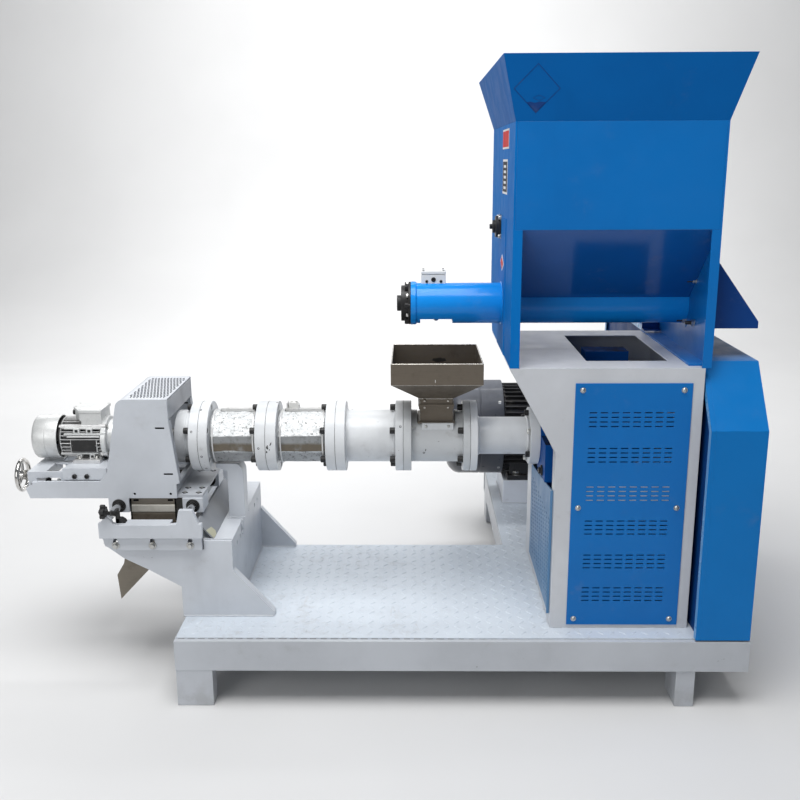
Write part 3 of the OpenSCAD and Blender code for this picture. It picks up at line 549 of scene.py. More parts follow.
# ---------------------------------------------------------------- CAD nodes shown as they are
for n, m, w in [
    ("base_rails_long", M_base_shaded, 1.6), ("base_rails_cross", M_base_shaded, 1.6), ("legs", M_base_shaded, 1.6),
    ("deck_plate", M_deck, 1.0),
    ("pedestal_front_plate", M_plate, 1.0), ("pedestal_back_plate", M_plate, 1.0), ("pedestal_side_plate", M_plate, 1.0),
    ("pedestal_ledge", M_plate, 1.0), ("barrel_support", M_plate, 1.2), ("rail_front", M_plate, 1.2), ("rail_back", M_plate, 1.2),
    ("rail_clamp_plates", M_plate, 1.0), ("rail_splash_plate", M_splash_shaded, 0.8), ("guide_rods", M_rod, 1.0),
    ("die_head", M_barrel, 1.4), ("barrel_segment_a", M_barrel, 1.4), ("barrel_segment_b", M_barrel, 1.4), ("barrel_segment_c", M_barrel, 1.4),
    ("inlet_segment", M_inlet_shaded, 1.4), ("bearing_housing", M_barrel, 1.4), ("inlet_chute", M_inox, 0.8), ("gearbox", M_gear, 3.0),
    ("cabinet_front", M_cab, 0.9), ("cabinet_left", M_cab, 0.9), ("cabinet_right", M_cab, 0.9), ("cabinet_back", M_cab, 0.9), ("cabinet_top", M_cab, 0.9),
    ("hopper_front", M_blue, 1.0), ("hopper_back", M_blue, 1.0), ("hopper_left_plate", M_side, 1.2), ("hopper_right_plate", M_blue, 1.2),
    ("hopper_trough", M_trough_shaded, 0.8), ("hopper_flare", M_flare, 1.2), ("hopper_bearing", M_rubber, 1.0),
    ("feeder_tube", M_tube, 1.0), ("feeder_end_cap", M_rubber, 1.2), ("feeder_drive_cover", M_navy, 1.2), ("feed_screw", M_screw, 0.5),
    ("belt_guard", M_guard, 4.0), ("motor_mount", M_mount, 2.5),
    ("hood_front_plate", M_hood, 1.0), ("hood_back_plate", M_hood, 1.0), ("hood_end_plates", M_end_shaded, 0.8), ("tail_tray", M_plate, 0.9),
    ("carriage_base", M_carr_shaded, 1.0), ("bearing_blocks", M_plate, 1.5), ("discharge_chute", M_chute, 0.8),
    ("motor_sled", M_plate, 0.9), ("adjusting_screw", M_zinc, 0.4), ("handwheel", M_chrome, 0.6),
]:
    dress(n, m, w)

AXY, AXZ = 350, 701


def slotted(xs, zs, holes):
    """Points and cells of a grid, leaving out the cells that lie in a hole (x0, x1, z0, z1)."""
    pts = [(x, z) for z in zs for x in xs]
    n = len(xs)
    fs = []
    for j in range(len(zs) - 1):
        for i in range(n - 1):
            cx, cz = (xs[i] + xs[i + 1]) / 2, (zs[j] + zs[j + 1]) / 2
            if any(h[0] < cx < h[1] and h[2] < cz < h[3] for h in holes):
                continue
            fs.append([j * n + i, j * n + i + 1, (j + 1) * n + i + 1, (j + 1) * n + i])
    return pts, fs


def cuts(lo, hi, holes, k):
    s = {lo, hi}
    for h in holes:
        s |= {h[k], h[k + 1]}
    return sorted(s)


def socket(m, o, d, r=9.0, h=16.0, mi=0):
    """Socket head cap screw, head only; o is the seat."""
    m.lathe(o, d, [(0, r), (h - 1.2, r), (h, r - 1.2), (h, r * 0.56), (h * 0.45, r * 0.56), (h * 0.45, 0)], 20, mi)


def hexbolt(m, o, d, af=17.0, h=9.0, wr=12.0, mi=0, washer=True, ph=0.3):
    r = af / math.sqrt(3)
    t = 0.0
    if washer:
        m.lathe(o, d, [(0, wr), (1.6, wr), (2.2, wr - 0.7)], 24, mi)
        t = 2.0
    m.lathe(o, d, [(t, r * 0.96), (t + 0.8, r), (t + h - 1.6, r), (t + h, r * 0.84)], 6, mi, ph)


def dome(m, o, d, r=6.5, h=3.6, mi=0):
    """Round head screw with a round recess."""
    m.lathe(o, d, [(0, r)] + [(h * math.sin(a), r * math.cos(a)) for a in (0.3, 0.65, 1.0, 1.3)] + [(h, 1.9), (h * 0.45, 1.4), (h * 0.45, 0)], 24, mi)


# ---------------------------------------------------------------- vented door
d0 = BX("vented_door")
slots = []
for top in (844, 747, 640, 544, 446, 350):
    for r in range(4):
        for c in range(8):
            x = 459 + 28.7 * c
            slots.append((x, x + 19.5, top - 12.4 * r - 3.2, top - 12.4 * r))
m = Mesh()
pts, fs = slotted(cuts(d0[0], d0[3], slots, 0), cuts(d0[2], d0[5], slots, 2), slots)
m.shell(pts, fs, lambda x, z: (x, d0[1] + 0.2, z), lambda x, z: (x, d0[4], z))
make("door_panel", m, "root", M_blue, "vented_door", bevel=0.45)

m = Mesh()
m.box((454, 73.1, 597), (686, 73.9, 646))
make("door_pale_strip", m, "root", M_whitepl)

# ---------------------------------------------------------------- side vent
vs = BX("side_vent_panel")
slots = []
for c in range(9):
    for r in range(21):
        y = 122 + 43 * c
        z = 296 + 12 * r
        if z < 560 - 28 - (y - 93) * 0.02:
            slots.append((y, y + 24, z, z + 3.4))
ys, zs = cuts(94, 522, slots, 0), cuts(262, 560, slots, 2)
pts, fs = slotted(ys, zs, slots)
top = lambda y, z: z if z < 559 else 620 - (y - 94) * 0.15
m = Mesh()
m.shell(pts, fs, lambda y, z: (vs[0] - 1, y, top(y, z)), lambda y, z: (vs[3] - 0.5, y, top(y, z)))
m.prism([(vs[0] - 5, 91.5), (vs[3] - 0.5, 91.5), (vs[3] - 0.5, 94), (vs[0] - 5, 94)], 262, 620, "z")
make("side_vent", m, "root", M_vent, "side_vent_panel", bevel=0.4)

# ---------------------------------------------------------------- perforated hood cover
m = Mesh()
prof = [(-681, 846.6)] + [(-800, 846.6)]
prof += [(-800 + 25.6 * math.cos(math.radians(a)), 821 + 25.6 * math.sin(math.radians(a))) for a in range(100, 169, 10)]
prof += [(-857.6, 652.5)]
seg = [0.0]
for a, b in zip(prof, prof[1:]):
    seg.append(seg[-1] + math.dist(a, b))


def on_prof(s, off):
    s = min(max(s, 0.0), seg[-1])
    i = max(k for k in range(len(seg) - 1) if seg[k] <= s + 1e-9)
    t = (s - seg[i]) / (seg[i + 1] - seg[i])
    a, b = prof[i], prof[i + 1]

    def nrm(j):
        j = min(max(j, 0), len(prof) - 2)
        q = (prof[j + 1][0] - prof[j][0], prof[j + 1][1] - prof[j][1])
        L = math.hypot(*q)
        return (q[1] / L, -q[0] / L)
    n0 = [(u + v) / 2 for u, v in zip(nrm(i - 1 if i else 0), nrm(i))]
    n1 = [(u + v) / 2 for u, v in zip(nrm(i), nrm(i + 1))]
    n = [n0[k] * (1 - t) + n1[k] * t for k in (0, 1)]
    L = math.hypot(*n)
    return (a[0] + (b[0] - a[0]) * t + n[0] / L * off, a[1] + (b[1] - a[1]) * t + n[1] / L * off)


def sheet(off):
    return lambda q, y: (on_prof(q, off)[0], y, on_prof(q, off)[1])


# flat top: expanded mesh with long diamonds between plain margins
m = Mesh()
LI, LJ = 24, 14
ds, dy, sa, ya_ = 112.0 / LI, 267.0 / LJ, 4.0, 216.5
pt, fcs, holes_ = [], [], set()
for j in range(LJ + 1):
    for i in range(LI + 1):
        pt.append((sa + i * ds, ya_ + j * dy))
at = lambda i, j: j * (LI + 1) + i
for j in range(LJ + 1):
    for i in range(LI + 1):
        if (i + j) % 2 == 0:
            continue
        ring = [(i - 1, j), (i, j - 1), (i + 1, j), (i, j + 1)]
        ok = [0 <= u <= LI and 0 <= v <= LJ for u, v in ring]
        if not all(ok):
            fcs.append([at(u, v) for (u, v), g in zip(ring, ok) if g])
            continue
        k = len(pt)
        c = pt[at(i, j)]
        for u, v in ring:
            q = pt[at(u, v)]
            pt.append((c[0] + (q[0] - c[0]) * 0.66, c[1] + (q[1] - c[1]) * 0.66))
        holes_ |= set(range(k, k + 4))
        for n_ in range(4):
            fcs.append([at(*ring[n_]), at(*ring[(n_ + 1) % 4]), k + (n_ + 1) % 4, k + n_])
m.shell(pt, fcs, sheet(0), sheet(-1.6), wall=lambda a, b: a in holes_ and b in holes_)
for s0, s1, y0, y1 in ((0, sa, 209.5, 490.5), (sa + 112, 119, 209.5, 490.5), (sa, sa + 112, 209.5, ya_), (sa, sa + 112, ya_ + 267, 490.5)):
    m.shell([(s0, y0), (s1, y0), (s1, y1), (s0, y1)], [[0, 1, 2, 3]], sheet(0), sheet(-1.6))

# bend and slanted side, cut out for the motor
ns, ny = 30, 44
S = [119 + (seg[-1] - 119) * i / ns for i in range(ns + 1)]
Yv = [209.5 + 281 * j / ny for j in range(ny + 1)]
pt, fcs, idx = [], [], {}


def snap(q, y):
    x, z = on_prof(q, 0)
    if x < -815:
        if z >= 700 and abs(math.hypot(y - AXY, z - 700) - 62) < 4.6:
            a = math.atan2(z - 700, y - AXY)
            return q - (700 + 62 * math.sin(a) - z) * 1.02, AXY + 62 * math.cos(a)
        for e in (288, 412):
            if z < 700 and abs(y - e) < 4.6:
                return q, e
    return q, y


for i in range(ns):
    for j in range(ny):
        cs, cy = (S[i] + S[i + 1]) / 2, (Yv[j] + Yv[j + 1]) / 2
        x, z = on_prof(cs, 0)
        if x < -815 and (math.hypot(cy - AXY, z - 700) < 61 or (z < 700 and 288 < cy < 412)):
            continue
        c = []
        for k in ((i, j), (i + 1, j), (i + 1, j + 1), (i, j + 1)):
            if k not in idx:
                idx[k] = len(pt)
                pt.append(snap(S[k[0]], Yv[k[1]]))
            c.append(idx[k])
        fcs.append(c)
m.shell(pt, fcs, sheet(0), sheet(-2.2))
make("hood_perforated_sheet", m, "cutter_carriage", [M_hood, M_holes], "hood_cover", angle=40)

# ---------------------------------------------------------------- heater jackets
corners = [14.5, 47, 78, 102, 133, 165.5, 199, 236, 270, 304, 341]
for nm, node in (("heater_jacket_a", "heater_cover_a"), ("heater_jacket_b", "heater_cover_b")):
    b = BX(node)
    x0, x1 = b[0], b[3]
    sd = x0 * 0.37
    angs = []
    for a, c in zip(corners, corners[1:] + [corners[0] + 360]):
        k = max(4, int((c - a) / 2.6))
        angs += [(a + (c - a) * i / k, a, c) for i in range(k)]

    def rad(a, a0, a1):
        h = math.radians((a1 - a0) / 2)
        return 79.2 * math.cos(h) / math.cos(math.radians(a - (a0 + a1) / 2))
    nx = 46
    pts = [(i, j) for i in range(nx + 1) for j in range(len(angs))]
    n = len(angs)
    fs = [[i * n + j, i * n + (j + 1) % n, (i + 1) * n + (j + 1) % n, (i + 1) * n + j] for i in range(nx) for j in range(n)]

    def outer(i, j):
        a, a0, a1 = angs[j]
        x = x0 + 0.5 + (x1 - x0 - 1) * i / nx
        r = rad(a, a0, a1)
        t = math.radians(a)
        p = Vector((x + sd, r * math.cos(t), r * math.sin(t)))
        e = min(1, min(i, nx - i) / 3)
        w = noise.noise(p * 0.045) * 0.7 + abs(noise.noise(p * 0.11)) * 0.6 + noise.noise(p * 0.3) * 0.2 - 0.6
        r += w * (0.35 + 0.65 * e) - 1.4 * (1 - e)
        r = max(r, 68.5)
        return (x, AXY - r * math.cos(t), AXZ + r * math.sin(t))

    def inner(i, j):
        t = math.radians(angs[j][0])
        return (x0 + 0.5 + (x1 - x0 - 1) * i / nx, AXY - 67 * math.cos(t), AXZ + 67 * math.sin(t))
    m = Mesh()
    m.shell(pts, fs, outer, inner)
    sx0, sx1 = (x0 + 22, x1 - 6) if nm.endswith("a") else (x0 + 14, x1 - 5)
    m.box((sx0, 335, 779), (sx1, 365, 783.5), 1)
    m.box((sx0, 335, 779), (sx0 + 3, 338, 786.5), 1)
    m.box((sx0 + 3, 335, 783.5), (sx1, 337, 787), 1)
    for sx in (sx0 + 18, sx1 - 14):
        m.lathe((sx, 345, 783.5), "z", [(0, 4.6), (2.2, 4.4), (3.2, 2.6), (3.2, 0)], 16, 2)
    for bx in (x0 + 3.5, x1 - 7.5):
        m.ring((bx, AXY, AXZ), "x", 71, 79.3, 4.5, 72, 1, 0.8)
    if nm.endswith("a"):
        m.box((-568, 330, 629), (-540, 352, 640), 3)
        m.lathe((-570, 341, 634), "-x", [(0, 3.4), (6, 3.4), (6, 0)], 14, 2)
    else:
        m.box((-368, 338, 781), (-364, 372, 802), 1)
        m.box((-368, 338, 783.5), (-332, 372, 786), 1)
        m.prism([(-362, 786), (-333, 786), (-333, 794), (-340, 801), (-356, 801), (-362, 796)], 344, 366, "y", 4)
        for sx in (-355, -341):
            m.lathe((sx, 355, 799), "z", [(0, 3.2), (4, 3.2), (4.6, 2.4), (4.6, 0)], 12, 2)
    make(nm, m, "root", [M_foil, M_strip, M_zinc, M_black, M_whitepl], node, bevel=0.3, seg=1)

# ---------------------------------------------------------------- cutter motor
def star(n, r0, r1, w0, w1, cy, cz, ph=0.0):
    """Finned outline: n fins from radius r0 to r1, half widths w0 at the root and w1 at the tip."""
    out = []
    for k in range(n):
        a = ph + 2 * math.pi * k / n
        u, v = (math.cos(a), math.sin(a)), (-math.sin(a), math.cos(a))
        for r, w in ((r0, -w0), (r1, -w1), (r1 + w1 * 0.5, 0), (r1, w1), (r0, w0)):
            out.append((cy + u[0] * r + v[0] * w, cz + u[1] * r + v[1] * w))
    return out


def grille(m, o, d, r0, r1, rows, n, t=2.0, mi=0, keep=4):
    """Fan guard disc: rings of curved slots between solid rings."""
    dd, u, w = basis(AX[d])
    rad = [r0 + (r1 - r0) * i / (2 * rows + 1) for i in range(2 * rows + 2)]
    pts = [(r, k) for r in rad for k in range(n)]
    fs = []
    for i in range(2 * rows + 1):
        for k in range(n):
            if i % 2 and (k + i) % keep:
                continue
            fs.append([i * n + k, i * n + (k + 1) % n, (i + 1) * n + (k + 1) % n, (i + 1) * n + k])
    o = Vector(o)
    f = lambda off: (lambda r, k: o + dd * off + (u * math.cos(2 * math.pi * k / n) + w * math.sin(2 * math.pi * k / n)) * r)
    m.shell(pts, fs, f(0), f(t), mi)
    m.cyl(o, d, r0 + 0.2, t, n, mi)


cm = BX("cutter_motor")
m = Mesh()
CZ = 700
m.prism(star(32, 49.5, 59.3, 1.5, 1.0, AXY, CZ, 0.1), -1021, -905, "x", 0)
m.lathe((-1029.5, AXY, CZ), "x", [(0, 50), (0.5, 53), (7, 53), (7, 50.8), (125, 50.8)], 64, 3)
m.ring((-1021.5, AXY, CZ), "x", 50, 58.8, 2.4, 64, 2, 0.5)
# end shield towards the knives, with its four lugs
m.lathe((-904.5, AXY, CZ), "x", [(0, 56), (0, 60.5), (1.5, 61.7), (14, 61.7), (16.5, 59), (17.5, 51), (20, 49.5), (33, 49), (37.5, 46.5), (38.5, 24), (38.5, 11)], 72, 2)
m.box((-901, 291.5, 711), (-887, 300, 727), 2)
for k in range(4):
    a = math.radians(45 + 90 * k)
    y, z = AXY + 57 * math.cos(a), CZ + 57 * math.sin(a)
    m.lathe((-1026, y, z), "x", [(0, 5.2), (118, 5.2)], 16, 0)
    m.lathe((-909, y, z), "x", [(0, 8.2), (19, 8.2), (21, 6.5)], 20, 0)
    hexbolt(m, (-888.5, y, z), "x", 8, 4.5, 6.2, 1)
m.lathe((-866, AXY, CZ), "x", [(0, 9.5), (150, 9.5)], 28, 1)
m.lathe((-745, AXY, CZ), "x", [(0, 22), (2, 24), (43, 24), (45, 22)], 40, 1)
# terminal box with its lid, one corner cut off
m.prism([(-992, 394.8), (-992, 346), (-966, 305.2), (-898.2, 305.2), (-898.2, 394.8)], 781.4, 790, "z", 2)
m.prism([(-989, 392), (-989, 347), (-964.3, 308), (-901, 308), (-901, 392)], 757.5, 780.4, "z", 2)
m.prism([(-987.5, 390.5), (-987.5, 347.6), (-963.4, 309.5), (-902.5, 309.5), (-902.5, 390.5)], 779, 782, "z", 3)
m.prism([(-960.5, 308.5), (-900.5, 308.5), (-900.5, 391.5), (-960.5, 391.5)], 741, 758.5, "z", 2)
for x, y in ((-986, 388), (-904, 388), (-904, 311.5), (-962.5, 311.5), (-986, 348)):
    m.lathe((x, y, 789.8), "z", [(0, 3.2), (0.8, 3.0), (0.8, 1.6), (0.3, 0)], 14, 1)
m.lathe((-988.5, 368, 769), "-x", [(0, 9.5), (5, 9.5), (5, 8), (13, 8), (13, 5), (10, 5), (10, 0)], 20, 3)
# cast pads on the operating side, the blank rating plate between them
for z in (721.5, 737.5):
    m.prism([(-1008, z - 2.2), (-901, z - 2.2), (-901, z + 2.2), (-1008, z + 2.2)], 290.6 if z < 730 else 296, 306, "y", 2)
for x in (-971, -934):
    m.box((x - 9, 291.2, 724), (x + 9, 304, 738), 2)
    m.box((x - 4.5, 290.6, 727), (x + 4.5, 292, 735.5), 3)
m.prism([(-1000, 712), (-906, 712), (-906, 716.5), (-1000, 716.5)], 290.4, 300, "y", 2)
m.prism([(-991, 661), (-914, 661), (-914, 665), (-991, 665)], 294, 306, "y", 2)
for x in (-970, -932):
    m.box((x - 8, 296.5, 645.5), (x + 8, 312, 661), 2)
    m.box((x - 4, 296, 649), (x + 4, 297.4, 657.5), 3)
m.box((-958, 298, 648), (-944, 306, 657), 3)
m.prism([(-991, 667.5), (-914, 667.5), (-914, 706.5), (-991, 706.5)], 291.2, 297, "y", 2)
m.prism([(-989, 669), (-916, 669), (-916, 705), (-989, 705)], 290.1, 291.6, "y", 3)
for x in (-986, -919):
    m.lathe((x, 290.4, 687), "-y", [(0, 1.6), (0.3, 1.2), (0.3, 0)], 10, 1)
# feet
for y0, y1 in ((280, 318), (382, 420)):
    m.prism([(-985, 637), (-905, 637), (-905, 645), (-912, 648), (-978, 648), (-985, 645)], y0, y1, "y", 0)
    for x in (-970, -920):
        hexbolt(m, (x, (y0 + y1) / 2, 648), "z", 11, 6, 8.5, 1)
m.prism([(-975, 646), (-908, 646), (-915, 668), (-968, 668)], 306, 322, "y", 0)
m.prism([(-975, 646), (-908, 646), (-915, 668), (-968, 668)], 378, 394, "y", 0)
make("cutter_motor_body", m, "sled", [M_alu, M_zinc, M_aluf, M_black], "cutter_motor", bevel=0.9)

m = Mesh()
m.lathe((-1104.8, AXY, CZ), "x", [(0, 50), (0.2, 54), (1.6, 58.5), (4.6, 62), (9, 63.7), (38.6, 64), (39, 63.1), (40.6, 63.1), (41, 64),
                                (72, 64), (74.4, 63.6), (74.8, 61.4), (10, 61), (3.4, 56), (2.4, 50)], 80, 0)
grille(m, (-1105, AXY, CZ), "x", 12, 51.5, 4, 72, 1.8, 0, 6)
for k in range(3):
    a = math.radians(30 + 120 * k)
    m.lathe((-1040, AXY + 63.8 * math.cos(a), CZ + 63.8 * math.sin(a)), (0, math.cos(a), math.sin(a)), [(-1, 4), (0.1, 4), (0.16, 1.6), (0.1, 0)], 14, 1)
m.lathe((-1092, AXY, CZ), "x", [(0, 14), (6, 14), (6, 44), (9, 44), (9, 14), (40, 14)], 40, 2)
for k in range(8):
    a = 2 * math.pi * k / 8
    u = Vector((0, math.cos(a), math.sin(a)))
    w = Vector((0, -math.sin(a), math.cos(a)))
    o = Vector((-1083, AXY, CZ))
    v = [o + u * 12 - w, o + u * 46 - w, o + u * 46 - w + AX["x"] * 24, o + u * 12 - w + AX["x"] * 24]
    m.add(v + [q + w * 2 for q in v], [[0, 1, 2, 3], [7, 6, 5, 4], [0, 4, 5, 1], [1, 5, 6, 2], [2, 6, 7, 3], [3, 7, 4, 0]], 2)
make("cutter_motor_fan_cowl", m, "sled", [M_aluf, M_zinc, M_rubber], "cutter_motor_cowl", bevel=0.3, seg=1)

# ---------------------------------------------------------------- main motor
mc = BX("main_motor_cowl")
MY, MZ = (mc[1] + mc[4]) / 2, (mc[2] + mc[5]) / 2
m = Mesh()
m.prism(star(44, 150, 166, 3.2, 2.2, MY, MZ), 336, 690, "x", 0)
m.lathe((334, MY, MZ), "x", [(0, 140), (0, 160), (8, 163), (8, 152), (356, 152)], 88, 0)
m.lathe((690, MY, MZ), "x", [(0, 168), (4, 173), (30, 173), (36, 166), (40, 150), (40, 60), (64, 56), (64, 30)], 88, 0)
for k in range(8):
    a = math.radians(22.5 + 45 * k)
    y, z = MY + 162 * math.cos(a), MZ + 162 * math.sin(a)
    m.lathe((686, y, z), "x", [(0, 15), (34, 15), (38, 12)], 24, 0)
    hexbolt(m, (724, y, z), "x", 16, 5, 11, 1)
m.box((352, 1066, 318), (655, 1116, 336), 0)
m.box((352, 1264, 318), (655, 1314, 336), 0)
for y0, y1 in ((1078, 1100), (1280, 1302)):
    for x in (372, 500, 618):
        m.prism([(x - 8, 336), (x + 8, 336), (x + 6, 400), (x - 6, 400)], y0, y1, "y", 0)
    m.box((360, y0 + 2, 336), (640, y1 - 2, 388), 0)
for y in (1082, 1298):
    for x in (386, 604):
        hexbolt(m, (x, y, 336), "z", 24, 13, 18, 1)
m.box((444, 972, 446), (596, 1052, 548), 0)
m.box((438, 966, 444), (602, 976, 564), 0)
m.box((440, 965.2, 446), (600, 967, 562), 0)
for x in (450, 590):
    for z in (456, 552):
        m.lathe((x, 966, z), "-y", [(0, 5), (0.9, 5), (0.9, 0)], 16, 1)
m.lathe((520, 1010, 446), "-z", [(0, 22), (8, 22), (8, 18), (30, 18), (30, 11), (22, 11), (22, 0)], 28, 2)
make("main_motor_body", m, "root", [M_blackp, M_zinc, M_rubber], "main_motor", bevel=1.2)

m = Mesh()
m.lathe((126, MY, MZ), "x", [(0, 126), (0.4, 134), (3, 144), (8, 153), (15, 162), (24, 170), (34, 175.5), (46, 178), (120, 178), (121, 176.6), (124, 176.6), (125, 178),
                              (206, 178), (207.5, 177), (207.5, 173), (48, 173), (34, 170), (22, 163), (11, 152), (5, 140), (3.5, 132), (2.5, 126)], 112, 0)
grille(m, (126, MY, MZ), "x", 26, 127, 5, 96, 2.4, 0, 8)
for k in range(4):
    a = math.radians(45 + 90 * k)
    m.lathe((318, MY + 177.6 * math.cos(a), MZ + 177.6 * math.sin(a)), (0, math.cos(a), math.sin(a)), [(-2, 7), (0.3, 7), (0.4, 3), (0.3, 0)], 16, 1)
m.lathe((150, MY, MZ), "x", [(0, 34), (12, 34), (12, 120), (17, 120), (17, 34), (180, 34)], 48, 2)
for k in range(9):
    a = 2 * math.pi * k / 9
    u, w, o = Vector((0, math.cos(a), math.sin(a))), Vector((0, -math.sin(a), math.cos(a))), Vector((167, MY, MZ))
    v = [o + u * 32 - w * 2, o + u * 122 - w * 2, o + u * 150 - w * 2 + AX["x"] * 60, o + u * 32 - w * 2 + AX["x"] * 60]
    m.add(v + [q + w * 4 for q in v], [[0, 1, 2, 3], [7, 6, 5, 4], [0, 4, 5, 1], [1, 5, 6, 2], [2, 6, 7, 3], [3, 7, 4, 0]], 2)
make("main_motor_fan_cowl", m, "root", [M_grey, M_zinc, M_rubber], "main_motor_cowl", bevel=0.4, seg=1)

# ---------------------------------------------------------------- belt guard: folded skin, set-back inner wall
g0 = BX("belt_guard")
gy0, gy1, gz1 = g0[1], g0[4], g0[5]
outl = [(gy0 + 0.2, 228.3), (gy0 + 0.2, 812), (117, gz1 - 0.2), (1300, gz1 - 0.2), (gy1 - 0.2, 880), (gy1 - 0.2, 228.3)]
outs = [(gy0 + 0.2, 228.3), (gy0 + 0.2, 812), (104.9, 953.4), (1316.4, 953.4), (gy1 - 0.2, 880), (gy1 - 0.2, 228.3)]


def inset(poly, g):
    """Open outline moved inwards by g; the first and last points stay on the deck."""
    out = []
    n = len(poly)
    for i, p in enumerate(poly):
        ds = []
        for a, b in ((poly[i - 1], p) if i else (None, None), (p, poly[i + 1]) if i + 1 < n else (None, None)):
            if a is None:
                continue
            L = math.dist(a, b)
            ds.append(((b[1] - a[1]) / L, -(b[0] - a[0]) / L))
        nx, nz = sum(d[0] for d in ds), sum(d[1] for d in ds)
        k = g / ((nx * ds[0][0] + nz * ds[0][1]) or 1)
        out.append((p[0] + nx * k, p[1] + nz * k))
    out[0] = (out[0][0], poly[0][1])
    out[-1] = (out[-1][0], poly[-1][1])
    return out


m = Mesh()
m.prism(outl + inset(outl, 2.5)[::-1], 768.7, g0[3] - 0.2, "x", 0)
m.prism(outs + inset(outs, 2.5)[::-1], g0[0] + 0.2, 768.9, "x", 0)
m.prism([(95.6, 936), (118.9, 967.2), (1298.4, 967.2), (1330, 936)], 768.8, 771, "x", 0)
# folded rim on the left face in the lighter blue: painted highlight
m.prism(inset(outs, 2.3) + inset(outs, 20)[::-1], g0[0] + 0.2, g0[0] + 2.4, "x", 3)
m.prism(inset(outl, 2.3) + inset(outl, 22)[::-1], g0[3] - 2.4, g0[3] - 0.2, "x", 0)
m.prism(inset(outl, 2.4), g0[3] - 5, g0[3] - 2.6, "x", 0)
# set-back inner wall in the darkened blue: painted shade
m.prism(inset(outs, 2.4), g0[0] + 10, g0[0] + 12, "x", 1)
for y in (60, 330, 640, 950, 1250):
    for z in (250, 945):
        if y == 60 and z == 945:
            y2, z2 = 90, 905
        else:
            y2, z2 = y, z
        dome(m, (g0[3] - 2.5, y2, z2), "x", 6.5, 2.2, 2)
make("belt_guard_shell", m, "root", [M_guard, M_guard_inside_shade, M_zinc, M_guard_rim_highlight], "belt_guard", bevel=0.7, seg=2)

# ---------------------------------------------------------------- junction box
jb = BX("feeder_junction_box")
m = Mesh()
m.box((jb[0] + 1, jb[1] + 1, 1143), (jb[3] - 1, jb[4] - 1, 1172))
m.box((jb[0], jb[1], 1173), (jb[3], jb[4], jb[5] - 0.3))
m.box((jb[0] + 3, jb[1] + 3, 1170), (jb[3] - 3, jb[4] - 3, 1175), 1)
for x in (38, 78):
    m.lathe((x, jb[1] + 1, 1153), "-y", [(0, 4), (0.9, 4), (0.9, 2), (0.3, 2), (0.3, 0)], 16, 1)
for x in (jb[0] + 7, jb[3] - 7):
    for y in (jb[1] + 7, jb[4] - 7):
        m.lathe((x, y, jb[5] - 0.3), "z", [(0, 3), (0.25, 3), (0.25, 0)], 14, 1)
m.lathe((57, jb[1] + 1, 1158), "-y", [(0, 6.5), (0.9, 6.5), (0.9, 4), (0.4, 4), (0.4, 0)], 16, 1)
make("junction_box", m, "root", [M_whitepl, M_black], "feeder_junction_box", bevel=1.6, seg=3)

# ---------------------------------------------------------------- deck tread
m = Mesh()
feet = [(-660, 132, -388, 172), (-660, 632, -388, 672), (-522, 140, -500, 650), (-555, 315, -495, 385),
        (370, 66, 380, 650), (370, 66, 760, 80), (370, 636, 760, 650), (395, 210, 605, 490), (748, 60, 757, 650),
        (750, -10, 910, 1400), (330, 1056, 450, 1324), (554, 1056, 674, 1324), (370, 85, 384, 540)]
dk = BX("deck_plate")


def tread(x, y, left, right, lo, hi):
    a = math.radians(45 if (round(x / 30) + round(y / 30)) % 2 else -45)
    ux, uy = math.cos(a), math.sin(a)
    L, W, H = 12.0, 2.6, 1.7
    for fx0, fy0, fx1, fy1 in feet:
        if fx0 - 10 < x < fx1 + 10 and fy0 - 10 < y < fy1 + 10:
            return
    if not (left + 12 < x < right - 12 and lo + 10 < y < hi - 10):
        return
    z = dk[5] - 0.05
    q = [(-L, 0), (-L * 0.6, -W), (L * 0.6, -W), (L, 0), (L * 0.6, W), (-L * 0.6, W)]
    t = [(-L * 0.62, 0), (-L * 0.5, -W * 0.42), (L * 0.5, -W * 0.42), (L * 0.62, 0), (L * 0.5, W * 0.42), (-L * 0.5, W * 0.42)]
    f = lambda p, h: (x + p[0] * ux - p[1] * uy, y + p[0] * uy + p[1] * ux, z + h)
    m.add([f(p, 0) for p in q] + [f(p, H) for p in t], [[i, (i + 1) % 6, 6 + (i + 1) % 6, 6 + i] for i in range(6)] + [list(range(6, 12)), list(range(6))[::-1]])


for i in range(-22, 31):
    for j in range(0, 49):
        x, y = i * 30, j * 30 + 12
        if y < 656:
            tread(x, y, dk[0], dk[3], dk[1], 660)
        elif x > 300:
            tread(x, y, 300, dk[3], 640, dk[4])
make("deck_tread", m, "root", M_deck, angle=60)

# ---------------------------------------------------------------- barrel bolts
pcd, start = 88, 35
m = Mesh()
for x in (-640, -451, -251, -52, 142):
    for k in range(6):
        a = math.radians(start + 60 * k)
        y, z = AXY + pcd * math.cos(a), AXZ + pcd * math.sin(a)
        socket(m, (x, y, z), "-x", 9.2, 15.5)
        if x in (-640, -451, -251, -52):
            right = {-640: -586, -451: -391, -251: -200, -52: -29}[x]
            m.lathe((x - 0.2, y, z), "x", [(0, 8.85), (right - x - 2.2, 8.85), (right - x - 1.2, 7.6)], 20)
        else:
            m.lathe((162.2, y, z), "x", [(0, 8.85), (19.0, 8.85), (20.0, 7.6)], 20)
for k in range(6):
    a = math.radians(start + 60 * k)
    y, z = AXY + 70 * math.cos(a), AXZ + 70 * math.sin(a)
    if k in (2, 4, 5):
        hexbolt(m, (334, y, z), "-x", 14, 8, 11.5, 1)
    else:
        socket(m, (334, y, z), "-x", 8.5, 12)
    m.lathe((334, y, z), "x", [(0, 6.8), (27.4, 6.8)], 20)
make("barrel_bolts", m, "root", [M_black, M_zinc], angle=40)

